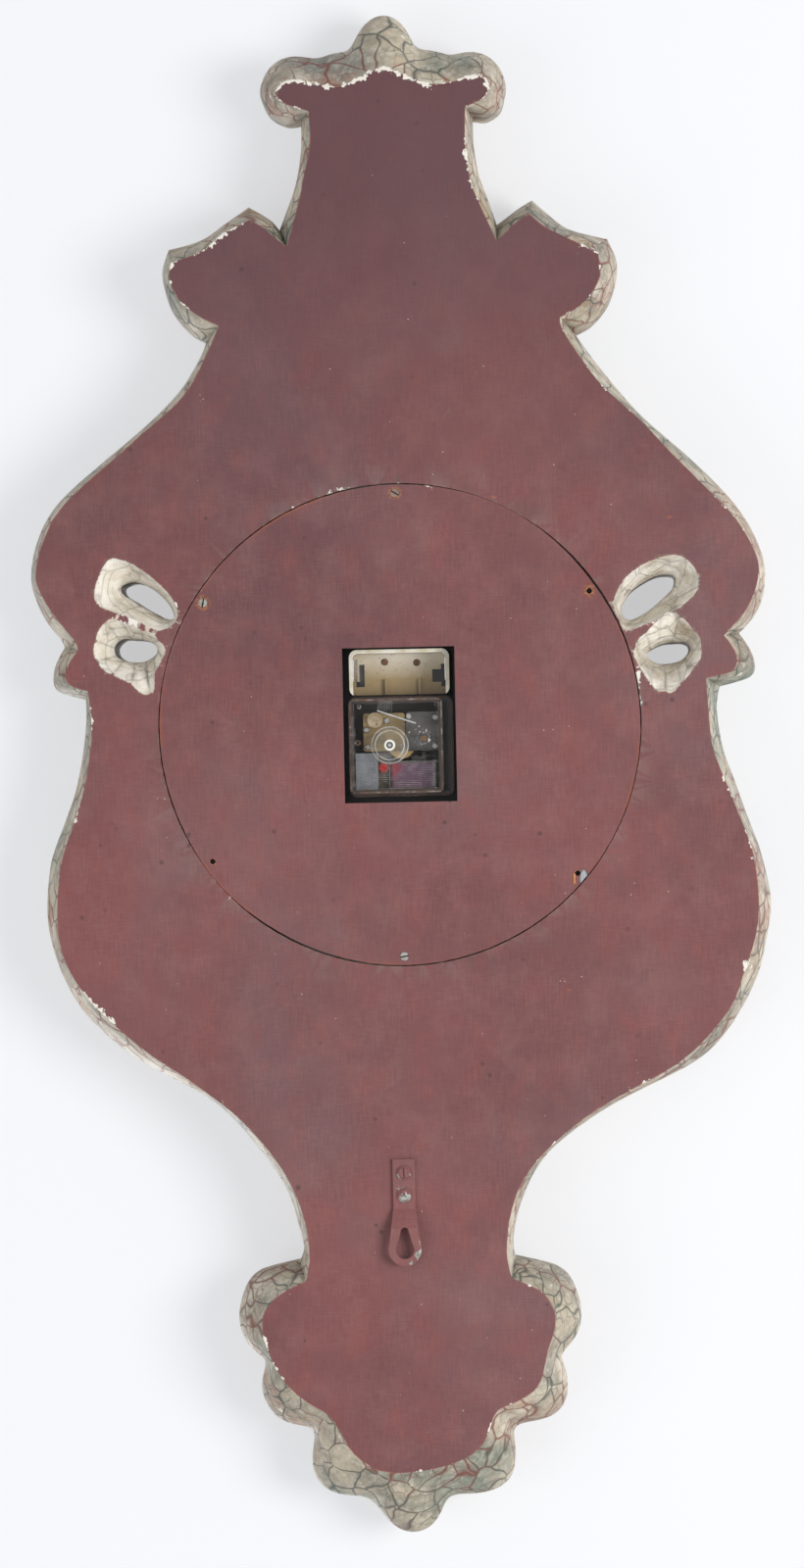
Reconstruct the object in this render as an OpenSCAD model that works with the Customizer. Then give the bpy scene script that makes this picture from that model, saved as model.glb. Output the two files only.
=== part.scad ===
// Carved wooden wall clock, seen from the back: the wall plane is y = 0 and the dial faces -Y.
// The origin lies on the wall plane behind the hands, +Z is up as the clock hangs.
// Depths are measured from the wall plane towards the dial.

/* [Carved board] */
// Width of the carved outline across the side scrolls
board_w = 435; // [420:1:460]
// Height of the carved outline from the bottom palmette to the shell's tip
board_h = 902; // [880:1:940]
// Thickness of the board from the wall plane to its front face
board_t = 56; // [54:1:64]
// Depth of the bevel between the back face and the widest outline
back_bevel = 28; // [18:1:34]
// Depth at which the straight side ends and the front bevel begins
front_bevel = 44; // [38:1:50]
// How far the front face is drawn in from the widest outline towards the back outline
front_draw = 0.8; // [0.5:0.05:1]
// Depth of the gouged funnel round each pierced opening
funnel_depth = 22; // [14:1:30]

/* [Back cover] */
// Radius of the round cover
cover_r = 141; // [138:0.5:144]
// Thickness of the cover
cover_t = 6; // [4:0.5:8]
// Gap between the cover and its recess
cover_seam = 1.2; // [0.5:0.1:2]
// Width of the ledge that the cover is screwed to
ledge_w = 14; // [12:0.5:18]
// How far the cover's centre lies below the hands
cover_drop = 11.8; // [8:0.2:14]
// Radius of the circle of the cover's screws
cover_screw_circle = 136; // [134:0.5:136.5]
// Width of the window in the cover
window_w = 66; // [65:0.5:70]
// Height of the window in the cover
window_h = 91; // [90.5:0.5:96]

/* [Screws in the wood] */
// Shank radius of the cover's screws
cover_screw_r = 1.6; // [1.2:0.1:2]
// Head radius of the cover's screws
cover_head_r = 2.8; // [2.6:0.1:3.4]
// Length of the cover's screws
cover_screw_l = 20; // [14:1:28]
// Shank radius of the hanger's screws
hanger_screw_r = 1.7; // [1.3:0.1:2.2]
// Head radius of the hanger's screws
hanger_head_r = 4.2; // [3.4:0.1:5]
// Length of the hanger's screws
hanger_screw_l = 22; // [14:1:30]
// Width of every screw slot
slot_w = 0.9; // [0.6:0.1:1.2]

/* [Hanger] */
// Sideways place of the hanger
hanger_x = -3; // [-8:0.5:8]
// Height of the strap's lower end above the hands
hanger_z = 243; // [235:1:250]
// Length of the strap
hanger_l = 62; // [56:1:70]
// Width of the strap at its screws
strap_w = 13; // [11:0.5:16]
// Thickness of the strap
strap_t = 2; // [1.5:0.1:3]
// How far the eye stands off the back face
eye_rise = 6; // [4:0.5:9]
// Radius of the wide end of the strap round the eye
eye_end_r = 9.6; // [8.5:0.1:11]
// Radius of the wide end of the teardrop eye
eye_r = 5.5; // [4.5:0.1:6.5]
// Radius of the narrow end of the teardrop eye
eye_tip_r = 2.4; // [1.8:0.1:3]

/* [Dial and glass] */
// Radius of the dial plate
dial_r = 112; // [110:0.5:113]
// Thickness of the dial plate
dial_t = 1.2; // [0.8:0.1:1.6]
// Radius of the visible dial opening
opening_r = 104; // [100:0.5:105]
// Height of the hour numerals
numeral_h = 20; // [16:0.5:24]
// Radius of the circle through the middle of the numerals
numeral_circle = 84; // [80:0.5:86]
// Width of a numeral's thick stroke
stroke_w = 3; // [2:0.1:4]
// Depth of the seat of the glass
glass_d = 57; // [55:0.5:58]
// Radius of the glass
glass_r = 107.5; // [107:0.1:108]
// Thickness of the glass
glass_t = 2.5; // [2:0.1:3]
// Outer radius of the brass bezel
bezel_r = 112.7; // [112:0.1:113.5]
// Depth of the front edge of the bezel
bezel_front = 64; // [62.5:0.5:66]
// Outer radius of the carved ring round the bezel
frame_r = 136; // [128:1:142]
// Depth of the top of the carved ring
frame_front = 67; // [64:0.5:72]

/* [Hands] */
// Length of the hour hand from the axis
hour_l = 60; // [50:1:68]
// Length of the minute hand from the axis
minute_l = 90; // [84:1:96]
// Thickness of each hand
hand_t = 0.8; // [0.5:0.1:1]
// Depth of the hour hand's back
hour_hand_d = 46.6; // [46.4:0.1:47]
// Depth of the minute hand's back
minute_hand_d = 49.4; // [49:0.1:50]

/* [Movement] */
// Width of the movement
move_w = 62; // [60:0.5:64]
// Depth of the rear face of the clear case
case_d = 10; // [9.8:0.1:11]
// Wall of the clear case
case_wall = 1.2; // [0.8:0.1:1.6]
// Depth of the rear edge of the battery holder
holder_d = 12; // [10:0.5:16]
// Wall of the battery holder
holder_wall = 2.2; // [1.6:0.1:3]
// Depth of the movement's front plate, on its inner side
plate_d = 34; // [33.8:0.1:34.4]
// Depth of the dial plate's back, where the movement ends
dial_d = 37; // [36.6:0.1:37.4]
// Depth of the two rear bridges, on their rear side
bridge_d = 17.5; // [17:0.1:17.8]
// Thickness of the bridges
bridge_t = 1.2; // [0.8:0.1:1.4]
// Radius of the threaded bush through the dial
bush_r = 3.5; // [3.2:0.1:4]
// Outer radius of the hour tube
hour_tube_r = 2; // [1.8:0.05:2.1]
// Radius of the minute shaft
minute_r = 1.2; // [1:0.05:1.3]
// Radius of the thin wheel arbors
arbor_r = 0.5; // [0.4:0.05:0.55]
// Radial running clearance of shafts in their holes
run_gap = 0.05; // [0.03:0.01:0.08]
// Distance from the hands' axis to the setting knob
knob_x = 6.3; // [6:0.1:6.6]
// Base radius of the clear setting knob
knob_r = 11.2; // [9:0.1:11.4]
// Radius of the cream regulator disc
regulator_r = 4.6; // [4:0.1:5]

/* [Wheel teeth] */
// Tooth module of the motion work that turns the hour hand
motion_module = 0.3; // [0.28:0.01:0.3]
// Tooth module of the drive wheel and third pinion
drive_module = 0.25; // [0.24:0.01:0.25]
// Tooth module of the third and fourth wheels
fine_module = 0.2; // [0.195:0.005:0.2]
// Tooth module of the fifth wheel and rotor pinion
rotor_module = 0.16; // [0.15:0.005:0.16]

/* [Hidden] */
$fn = 72;
cut = 1;
smooth = 2;

pattern_w = 435;
pattern_h = 902;
kx = board_w / pattern_w;
kz = board_h / pattern_h;

cover_c = [0, -cover_drop];
recess_r = cover_r + cover_seam;
cavity_r = recess_r - ledge_w;
dial_front = dial_d + dial_t;
rebate_r = bezel_r + 0.3;

// Places of the cover's screws on their circle: the first three are fitted, the others stand empty
cover_angles = [270, 213, 90, 326, 145, 41];
fitted_screws = 3;

// Carving pattern at its nominal size, in runs that end at a sharp corner.
// Each row is the distance to the left edge, the distance to the right edge, and the height.
widest_edge = [
    [[2, -2, -434], [12, 8, -430], [20, 15, -417], [23, 17, -411]],
    [[23, 17, -411], [30, 25, -412], [38, 34, -409.5], [41, 37, -407]],
    [[41, 37, -407], [52, 46, -410.5], [63, 57, -409.5], [72, 66, -402], [76, 70, -392],
        [75, 69, -384], [70, 66, -375], [60, 57, -370], [52, 50, -372]],
    [[52, 50, -372], [52, 50, -357], [55, 53, -337], [60, 58, -322], [66, 63, -307]],
    [[66, 63, -307], [70, 70, -312], [77, 77, -317], [84, 84, -321]],
    [[84, 84, -321], [99, 95, -311], [109, 104, -304], [119, 116, -300], [132, 128, -297]],
    [[132, 128, -297], [136, 133, -285], [135, 133, -274], [131, 129, -261], [125, 123, -252],
        [118, 116, -245.5], [111, 108, -241.5]],
    [[111, 108, -241.5], [115, 114, -232], [128, 129, -212], [150, 147, -191], [176, 170, -170],
        [200, 191, -149], [213, 207, -128], [218, 217, -102], [210, 214, -79], [201, 206, -67],
        [199, 201, -62]],
    [[199, 201, -62], [204, 207, -53], [206, 210, -44], [203, 207, -36], [187, 189, -31]],
    [[187, 189, -31], [187, 187, -18], [190, 190, 5], [195, 197, 26], [203, 204, 47],
        [210, 211, 67], [212.5, 216.5, 95], [209.5, 214, 116], [202, 209, 137], [189, 199, 158],
        [166, 184, 179], [143, 166, 193], [119, 137, 207], [103, 111, 221], [86, 83, 242],
        [73, 69, 263], [67, 62, 283], [64, 60, 297], [67, 61, 305]],
    [[67, 61, 305], [85, 78, 309], [94, 88, 313], [100, 95, 321], [104, 100, 336], [102, 98.5, 348],
        [96, 92.5, 357.5], [86, 85, 363]],
    [[86, 85, 363], [91, 90, 374], [90.5, 91, 384], [86, 88, 393], [79, 80, 400], [59, 57, 404]],
    [[59, 57, 404], [62, 59, 421], [61, 58, 431], [56, 53, 439], [46, 40, 444], [30, 17, 444.5]],
    [[30, 17, 444.5], [23, 16, 451], [18, 12, 459], [11, 6, 465], [3.4, -3.4, 468]]
];

// The same rows on the back face, inside the bevel
back_edge = [
    [[1.4, -1.4, -398], [9, 6, -395], [18, 16, -390], [28, 24, -387]],
    [[28, 24, -387], [32, 30, -387], [37, 36, -387.5], [42, 41, -388.5]],
    [[42, 41, -388.5], [49, 48, -391], [56, 54, -391.5], [61, 58, -389.5], [65, 60, -385],
        [63, 58.5, -380.5], [59, 56, -377.5], [53, 51, -375.5], [46, 46, -373]],
    [[46, 46, -373], [45.5, 45.5, -354], [50, 47.5, -333], [53, 52, -319], [60.5, 63, -294]],
    [[60.5, 63, -294], [68, 69, -300], [75, 76, -306], [82, 82, -310]],
    [[82, 82, -310], [97, 90, -302.5], [104, 100, -297], [112, 111, -291.5], [128.5, 122, -286]],
    [[128.5, 122, -286], [130, 123, -278], [128, 122.5, -271], [123, 118, -262.5],
        [116, 112.5, -256.5], [109, 106, -252], [101.5, 99, -248.5]],
    [[101.5, 99, -248.5], [105, 101, -240], [121, 121, -210], [144, 143, -189], [169, 162, -168],
        [193, 182, -147], [206, 200, -127], [212, 212, -101], [200, 206, -78], [190, 196, -65.5],
        [188, 191, -60]],
    [[188, 191, -60], [194, 197, -51], [196, 198, -44], [192, 194, -38.5], [183, 180, -35.5]],
    [[183, 180, -35.5], [181, 181, -16], [183, 183, 5], [187, 190, 25], [194, 198, 46],
        [201, 205, 67], [203.5, 208, 94], [202, 206, 115], [193, 199, 136], [176, 191, 156.5],
        [153, 174, 177], [133, 157, 191], [114, 131, 205], [98, 107, 218.6], [80, 81, 239.5],
        [68, 65, 260], [61, 58, 282], [59.5, 56.5, 301], [62, 59, 314]],
    [[62, 59, 314], [71, 68, 318], [79, 77, 322.5], [84.5, 81, 328], [88, 84, 335], [88, 84, 343],
        [86.5, 81.5, 350], [84, 79, 357]],
    [[84, 79, 357], [80, 77, 366], [74, 75, 375], [67, 70, 381.5], [60, 60, 386.5], [52, 49, 391]],
    [[52, 49, 391], [45.5, 45, 398], [40, 42, 409.5], [35, 34, 417], [28, 24, 421.5], [22, 10, 425.5]],
    [[22, 10, 425.5], [18, 5, 426], [15, 0, 426.6], [12, -5, 427], [9.5, -9.5, 427.2]]
];

// Gouged rim and clear hole of each pierced opening
upper_left_rim = [[-168, -113], [-156, -110], [-147, -104], [-137, -95], [-130, -85], [-130, -76],
    [-140, -70], [-151, -75], [-162, -80], [-173, -84], [-178, -91], [-175, -103]];
upper_left_hole = [[-163, -98], [-156, -100], [-148, -97], [-141, -92], [-135, -85], [-133, -78],
    [-138, -78], [-144, -81], [-151, -85], [-157, -89], [-162, -92], [-164, -95]];
lower_left_rim = [[-161, -75], [-151, -71], [-142, -66], [-137, -57], [-143, -47], [-144, -35],
    [-150, -33], [-160, -41], [-170, -46], [-178, -55], [-177, -67], [-170, -77]];
lower_left_hole = [[-158, -66], [-152, -65.5], [-147, -64], [-143.5, -61], [-144, -57], [-148, -54],
    [-152, -52.5], [-158, -52.5], [-164, -54], [-168, -57], [-168.5, -62], [-164, -66]];
upper_right_rim = [[167, -107], [176, -98], [176, -87], [167, -78], [156, -72], [144, -67],
    [134, -64], [128, -71], [127, -82], [134, -95], [145, -103], [157, -107]];
upper_right_hole = [[162, -97], [164, -94], [162, -89], [157, -84], [150, -78], [144, -74],
    [137, -71], [133, -73], [132, -78], [137, -87], [145, -93], [154, -97]];
lower_right_rim = [[165, -72], [170, -67], [176, -59], [177, -49], [169, -37], [160, -28],
    [150, -30], [144, -39], [138, -49], [141, -58], [149, -66], [158, -74]];
lower_right_hole = [[161, -57], [167.5, -57], [171.3, -55], [171, -51], [166, -46.5], [159, -44.7],
    [153, -45], [148.5, -46.8], [146, -50], [147, -52], [150, -54], [156, -56.5]];
piercings = [[upper_left_rim, upper_left_hole], [lower_left_rim, lower_left_hole],
    [upper_right_rim, upper_right_hole], [lower_right_rim, lower_right_hole]];

// Teeth of the wheels and pinions
cannon_teeth = 12;
intermediate_teeth = 36;
intermediate_leaves = 10;
hour_teeth = 40;
setting_teeth = 30;
knob_leaves = 12;
drive_teeth = 64;
third_teeth = 60;
fourth_teeth = 40;
fifth_teeth = 48;
leaves = 8;

// Depths of the wheels from the wall plane, wall side of each
fifth_wheel_d = 19.4;
fourth_wheel_d = 21.8;
knob_wheel_d = 21.8;
third_wheel_d = 24.4;
drive_wheel_d = 27.2;
cannon_d = 29.4;
hour_wheel_d = 32;
train_wheel_t = 1;
stout_wheel_t = 1.2;
// How far each pinion stands past the wheel it meshes with
pinion_over = 0.4;
// Hole left under the teeth of a wheel that is cut from its arbor
core_r = 0.3;
knob_arbor_r = 0.75;
// Gap between the knob and the case, and the radius of the collar that joins the knob to its arbor
knob_gap = 0.6;
collar_r = 3.3;
intermediate_post_r = 0.6;

// Distances between the arbors, from the teeth
motion_dist = motion_module * (cannon_teeth + intermediate_teeth) / 2;
hour_module = 2 * motion_dist / (intermediate_leaves + hour_teeth);
third_dist = drive_module * (drive_teeth + leaves) / 2;
fourth_dist = fine_module * (third_teeth + leaves) / 2;
fifth_dist = fine_module * (fourth_teeth + leaves) / 2;
rotor_dist = rotor_module * (fifth_teeth + leaves) / 2;
knob_module = 2 * knob_x / (setting_teeth + knob_leaves);

// Directions from each arbor to the next, which keep the wheels clear of the other arbors
intermediate_dir = 235;
third_dir = -56;
fourth_dir = -30;
fifth_dir = 28.6;
rotor_dir = 115;

knob_c = [-knob_x, 0];
intermediate_c = polar(intermediate_dir, motion_dist);
third_c = polar(third_dir, third_dist);
fourth_c = third_c + polar(fourth_dir, fourth_dist);
fifth_c = fourth_c + polar(fifth_dir, fifth_dist);
rotor_c = fifth_c + polar(rotor_dir, rotor_dist);
regulator_c = [-15, -15];
trimmer_c = [-10.9, 13];

// Movement outline: the works above, the battery holder below
works_top = 30.4;
works_bottom = -28.8;
holder_bottom = -56.5;
holder_half = 29.5;
corner_r = 4.6;
rear_left = -30.3;
rear_right = 25.3;
rear_step_d = 24;
pivot_in = 1.2;

// Countersunk heads of the cover's screws
countersink = 2.2;
head_sunk = 0.15;
slot_depth = 0.8;

// Straight length of the hanger below its bend, and the rise of its screws' heads
strap_flat = 29;
hanger_head_t = 1.8;

brass_pillars = [[-20.2, -9.3], [-19.5, 1], [-8, -14.5]];
steel_pillars = [[5, -17], [20.5, -16], [20.2, 1]];
pillar_r = 1.6;
bridge_screw_r = 0.8;
bridge_screw_l = 6;
small_head_r = 1.8;
small_head_t = 1.1;
small_slot_w = 0.5;

dial_screw_circle = 108;
dial_screw_r = 1.2;
dial_head_r = 2.6;
dial_head_t = 1.6;
numeral_t = 0.4;
washer_t = 0.5;
nut_t = 3;
bush_l = 12;
dial_screw_l = 9;
bezel_screw_circle = 110.4;
bezel_screw_r = 0.9;
bezel_head_r = 1.9;
bezel_screw_in = 7;
bezel_head_in = 3;
holder_screws_at = [[-9, -49.6], [10, -48.9]];
holder_screw_r = 1;
holder_floor_t = 2;
rib_depth = 3;
contact_z = -51;
contact_h = 13;

coil_left = -7.4;
coil_right = 21.3;
coil_bottom = 9.5;
coil_top = 26;
coil_d = 22.7;
coil_depth = plate_d - coil_d;
core_x = 7;
core_w = 2;
stator_d = 26.7;
stator_t = 2;
bar_w = 2;
circuit_d = 28;
circuit_front = circuit_d + 1.4;
shield_d = 20;
shield_t = 0.8;
regulator_d = 15.6;
regulator_post_r = 0.6;
wire_r = 0.5;
magnet_r = 2.6;

function polar(a, r) = r * [cos(a), sin(a)];
function mix(a, b, t) = a + (b - a) * t;

// Smooth curve through four rows, between the middle two
function bend(a, b, c, d, t) = 0.5 * (2 * b + (c - a) * t + (2 * a - 5 * b + 4 * c - d) * t * t
    + (3 * b - a - 3 * c + d) * t * t * t);
function run_rows(run) = let (last = len(run) - 1)
    [for (i = [0 : last - 1], k = [0 : smooth - 1])
        bend(run[max(i - 1, 0)], run[i], run[i + 1], run[min(i + 2, last)], k / smooth)];
function edge_rows(edge) = let (last = edge[len(edge) - 1])
    concat([for (run = edge) each run_rows(run)], [last[len(last) - 1]]);
function outline(edge) = let (rows = edge_rows(edge), last = len(rows) - 1)
    concat([for (r = rows) [r[1] * kx, r[2] * kz]],
        [for (i = [last - 1 : -1 : 1]) [-rows[i][0] * kx, rows[i][2] * kz]]);
function closed_curve(pts) = let (n = len(pts))
    [for (i = [0 : n - 1], k = [0 : smooth - 1])
        bend(pts[(i + n - 1) % n], pts[i], pts[(i + 1) % n], pts[(i + 2) % n], k / smooth)];
function scaled(pts) = [for (p = pts) [p[0] * kx, p[1] * kz]];

// Tooth outline with slim teeth, so that a meshed pair never touches
function gear_points(teeth, m) =
    let (pitch = 360 / teeth, root = m * (teeth / 2 - 1.1), tip = m * (teeth / 2 + 0.9))
    [for (i = [0 : teeth - 1]) each [polar((i - 0.22) * pitch, root), polar((i - 0.09) * pitch, tip),
        polar((i + 0.09) * pitch, tip), polar((i + 0.22) * pitch, root)]];

// Places a flat drawing of x and z at a depth and grows it towards the dial
module deep(d, h) translate([0, -d, 0]) rotate([90, 0, 0]) linear_extrude(h) children();

// Solid of revolution about a line that runs from the wall to the dial, drawn as radius and depth
module turned(c = [0, 0]) translate([c[0], 0, c[1]]) rotate([90, 0, 0]) rotate_extrude() children();

module disc(c, d, h, r) translate([c[0], -d, c[1]]) rotate([90, 0, 0]) cylinder(h = h, r = r);

// Triangles that fill an outline, cut off one corner after another where no other corner is inside
function side_of(a, b, p) = (b[0] - a[0]) * (p[1] - a[1]) - (b[1] - a[1]) * (p[0] - a[0]);
function hollow_corners(pts) = let (n = len(pts))
    [for (i = [0 : n - 1]) if (side_of(pts[(i + n - 1) % n], pts[i], pts[(i + 1) % n]) <= 0) i];
function clear(pts, hollows, a, b, c) = side_of(pts[a], pts[b], pts[c]) > 0
    && len([for (i = hollows) if (i != a && i != b && i != c && side_of(pts[a], pts[b], pts[i]) >= 0
        && side_of(pts[b], pts[c], pts[i]) >= 0 && side_of(pts[c], pts[a], pts[i]) >= 0) i]) == 0;
function clipped(pts, hollows, ring, at, out) = len(ring) == 3 ? concat(out, [ring]) :
    let (n = len(ring), i = at % n, a = ring[(i + n - 1) % n], b = ring[i], c = ring[(i + 1) % n])
    clear(pts, hollows, a, b, c)
        ? clipped(pts, hollows, [for (k = [0 : n - 1]) if (k != i) ring[k]], i + 1, concat(out, [[a, b, c]]))
        : clipped(pts, hollows, ring, i + 1, out);
function filled(pts) = clipped(pts, hollow_corners(pts), [for (i = [0 : len(pts) - 1]) i], 1, []);

// Loft through closed outlines that each lie at a depth, wall side first
module loft(depths, rings) {
    n = len(rings[0]);
    last = len(rings) - 1;
    points = [for (i = [0 : last], p = rings[i]) [p[0], -depths[i], p[1]]];
    sides = [for (i = [0 : last - 1], j = [0 : n - 1]) let (k = (j + 1) % n)
        each [[i * n + j, (i + 1) * n + j, (i + 1) * n + k], [i * n + j, (i + 1) * n + k, i * n + k]]];
    front = [for (t = filled(rings[last])) [last * n + t[2], last * n + t[1], last * n + t[0]]];
    polyhedron(points, concat(filled(rings[0]), sides, front));
}

module rounded(x0, z0, x1, z1, r) {
    translate([x0 + r, z0]) square([x1 - x0 - 2 * r, z1 - z0]);
    translate([x0, z0 + r]) square([x1 - x0, z1 - z0 - 2 * r]);
    for (x = [x0 + r, x1 - r], z = [z0 + r, z1 - r]) translate([x, z]) circle(r);
}

module wheel(c, d, h, teeth, m, turn, bore) {
    translate([c[0], 0, c[1]]) deep(d, h) difference() {
        rotate(turn) polygon(gear_points(teeth, m));
        circle(bore);
    }
}

// Straight holes in the wood, a little deeper than the screws that they take
module pilot_holes() {
    for (a = cover_angles)
        disc(cover_c + polar(a, cover_screw_circle), cover_t - cut, cover_screw_l - cover_t + 1 + cut,
            cover_screw_r);
    for (s = hanger_screw_places())
        disc(s, -cut, hanger_screw_l - strap_t + 1 + cut, hanger_screw_r);
    for (a = [45 : 90 : 315]) {
        disc(polar(a, dial_screw_circle), dial_front - cut, dial_screw_l - dial_t + cut, dial_screw_r);
        disc(polar(a + 22.5, bezel_screw_circle), glass_d - bezel_screw_in, bezel_screw_in + cut,
            bezel_screw_r);
    }
}

module carved_body() {
    back = outline(back_edge);
    widest = outline(widest_edge);
    front = [for (i = [0 : len(back) - 1]) mix(widest[i], back[i], front_draw)];
    color([0.47, 0.3, 0.31]) difference() {
        union() {
            loft([0, back_bevel, front_bevel, board_t], [back, widest, widest, front]);
            turned() dial_frame_section();
            shell_relief();
            palmette_relief();
        }
        disc(cover_c, -cut, cover_t + cut, recess_r);
        disc(cover_c, cover_t - cut, dial_front - cover_t + cut, cavity_r);
        disc([0, 0], dial_front - cut, frame_front, opening_r);
        disc([0, 0], glass_d, frame_front, rebate_r);
        for (p = piercings) pierced(closed_curve(scaled(p[0])), closed_curve(scaled(p[1])));
        pilot_holes();
    }
}

module dial_frame_section() {
    base = board_t - 2;
    inner_front = frame_front - 4;
    polygon([[opening_r - 1, base], [frame_r, base], [frame_r, board_t + 2], [frame_r - 3, board_t + 5],
        [frame_r - 6, board_t + 6], [frame_r - 9, frame_front - 1.5], [frame_r - 13, frame_front],
        [frame_r - 17, frame_front - 1.5], [rebate_r + 2.5, inner_front], [rebate_r - 1, inner_front],
        [opening_r - 1, inner_front]]);
}

// Fan of carved flutes on the front face: ridges and valleys that spread from a centre between two
// angles. Each row is the share of the reach and the share of the rise there.
module fan(c, from, to, ridges, root, reach, tip, rise) {
    rows = [[0, 0.35], [0.35, 0.8], [0.8, 1], [1, 0.15]];
    last = 2 * ridges;
    points = [for (i = [0 : last], r = rows) let (ridge = i % 2, mid = 1 - abs(2 * i / last - 1),
        end = mix(reach, tip, mid) * (ridge == 1 ? 1 : 0.9))
        concat(c + polar(mix(from, to, i / last), mix(root, end, r[0])),
            [rise * r[1] * (ridge == 1 ? 1 : 0.35)])];
    n = len(rows);
    edge = concat([for (k = [0 : n - 1]) k], [for (i = [1 : last]) i * n + n - 1],
        [for (k = [n - 2 : -1 : 0]) last * n + k], [for (i = [last - 1 : -1 : 1]) i * n]);
    size = len(edge);
    under = len(points);
    top = [for (i = [0 : last - 1], k = [0 : n - 2]) let (p = i * n + k)
        each [[p, p + n, p + 1], [p + 1, p + n, p + n + 1]]];
    walls = [for (j = [0 : size - 1]) let (k = (j + 1) % size)
        each [[edge[j], edge[k], under + j], [edge[k], under + k, under + j]]];
    polyhedron(concat([for (p = points) [p[0], -board_t - p[2], p[1]]],
        [for (e = edge) [points[e][0], 1 - board_t, points[e][1]]]),
        concat(top, walls, [[for (j = [0 : size - 1]) under + j]]));
}

module shell_relief() {
    fan([-3 * kx, 330 * kz], 14, 166, 5, 20, 84, 102, 9);
    for (x = [-74, 72]) disc([x * kx, 337 * kz], board_t - 1, 8, 14);
}

module palmette_relief() {
    fan([0, -358 * kz], -150, -30, 3, 8, 34, 46, 7);
}

// Through opening with a funnel that widens to the wall side
module pierced(rim, hole) {
    loft([-cut, 0, funnel_depth, frame_front + cut], [rim, rim, hole, hole]);
}

function hanger_screw_places() = [[hanger_x, hanger_z + 8], [hanger_x, hanger_z + 21]];

module back_cover() {
    color([0.49, 0.32, 0.33]) difference() {
        disc(cover_c, 0, cover_t, cover_r);
        translate([0, 0, -cover_drop]) deep(-cut, cover_t + 2 * cut)
            square([window_w, window_h], center = true);
        for (a = cover_angles) {
            disc(cover_c + polar(a, cover_screw_circle), -cut, cover_t + 2 * cut, cover_screw_r);
            turned(cover_c + polar(a, cover_screw_circle))
                polygon([[0, -cut], [cover_head_r, -cut], [cover_head_r, 0], [cover_screw_r, countersink],
                    [0, countersink]]);
        }
    }
}

module slot(c, d, turn, length) {
    translate([c[0], 0, c[1]]) deep(d - cut, cut + slot_depth) rotate(turn)
        square([length, slot_w], center = true);
}

module cover_screws() {
    color([0.35, 0.33, 0.31]) for (i = [0 : fitted_screws - 1]) {
        c = cover_c + polar(cover_angles[i], cover_screw_circle);
        difference() {
            turned(c) polygon([[0, head_sunk], [cover_head_r - 0.25, head_sunk], [cover_screw_r, countersink],
                [cover_screw_r, cover_screw_l], [0, cover_screw_l]]);
            slot(c, head_sunk, 30 + 70 * i, 2 * cover_head_r + 2);
        }
    }
}

// Flat shape of the strap, with the teardrop eye in its wide end
module strap_shape() {
    eye_z = hanger_l - eye_end_r;
    tip_z = eye_z - 10.5;
    difference() {
        union() {
            translate([-strap_w / 2, 0]) square([strap_w, strap_flat]);
            polygon([[-strap_w / 2, strap_flat - 1], [strap_w / 2, strap_flat - 1],
                [eye_end_r - 0.6, eye_z - 3], [-eye_end_r + 0.6, eye_z - 3]]);
            translate([0, eye_z]) circle(eye_end_r);
        }
        translate([0, eye_z]) circle(eye_r);
        translate([0, tip_z]) circle(eye_tip_r);
        polygon([[-eye_r, eye_z], [-eye_tip_r, tip_z], [eye_tip_r, tip_z], [eye_r, eye_z]]);
    }
}

module hanger_strap() {
    bend_z = strap_flat + 11;
    end_z = hanger_l + 1;
    back = eye_rise + strap_t;
    color([0.45, 0.33, 0.33]) translate([hanger_x, 0, hanger_z]) difference() {
        intersection() {
            deep(-back - cut, back + 2 * cut) strap_shape();
            translate([-20, 0, 0]) rotate([90, 0, 90]) linear_extrude(40)
                polygon([[0, 0], [strap_t, 0], [strap_t, strap_flat], [back, bend_z], [back, end_z],
                    [eye_rise, end_z], [eye_rise, bend_z + 0.8], [0, strap_flat + 0.8]]);
        }
        for (s = hanger_screw_places())
            disc([0, s[1] - hanger_z], -strap_t - cut, strap_t + 2 * cut, hanger_screw_r);
    }
}

module hanger_screws() {
    color([0.42, 0.32, 0.32]) for (i = [0, 1]) {
        c = hanger_screw_places()[i];
        difference() {
            turned(c) polygon([[0, -strap_t - hanger_head_t], [hanger_head_r - 1.4, -strap_t - hanger_head_t],
                [hanger_head_r, -strap_t - 0.7], [hanger_head_r, -strap_t], [hanger_screw_r, -strap_t],
                [hanger_screw_r, hanger_screw_l - strap_t], [0, hanger_screw_l - strap_t]]);
            slot(c, -strap_t - hanger_head_t, 88 - 52 * i, 2 * hanger_head_r + 2);
        }
    }
}

module dial_plate() {
    color([0.9, 0.87, 0.78]) deep(dial_d, dial_t) difference() {
        circle(dial_r);
        circle(bush_r + run_gap);
        for (a = [45 : 90 : 315]) translate(polar(a, dial_screw_circle)) circle(dial_screw_r);
    }
}

module dial_screws() {
    color([0.6, 0.55, 0.42]) for (a = [45 : 90 : 315]) {
        c = polar(a, dial_screw_circle);
        top = dial_d - dial_head_t;
        end = dial_d + dial_screw_l;
        difference() {
            turned(c) polygon([[0, top], [dial_head_r - 1, top], [dial_head_r, top + 0.8],
                [dial_head_r, dial_d], [dial_screw_r, dial_d], [dial_screw_r, end], [0, end]]);
            slot(c, top, a, 2 * dial_head_r + 2);
        }
    }
}

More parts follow.
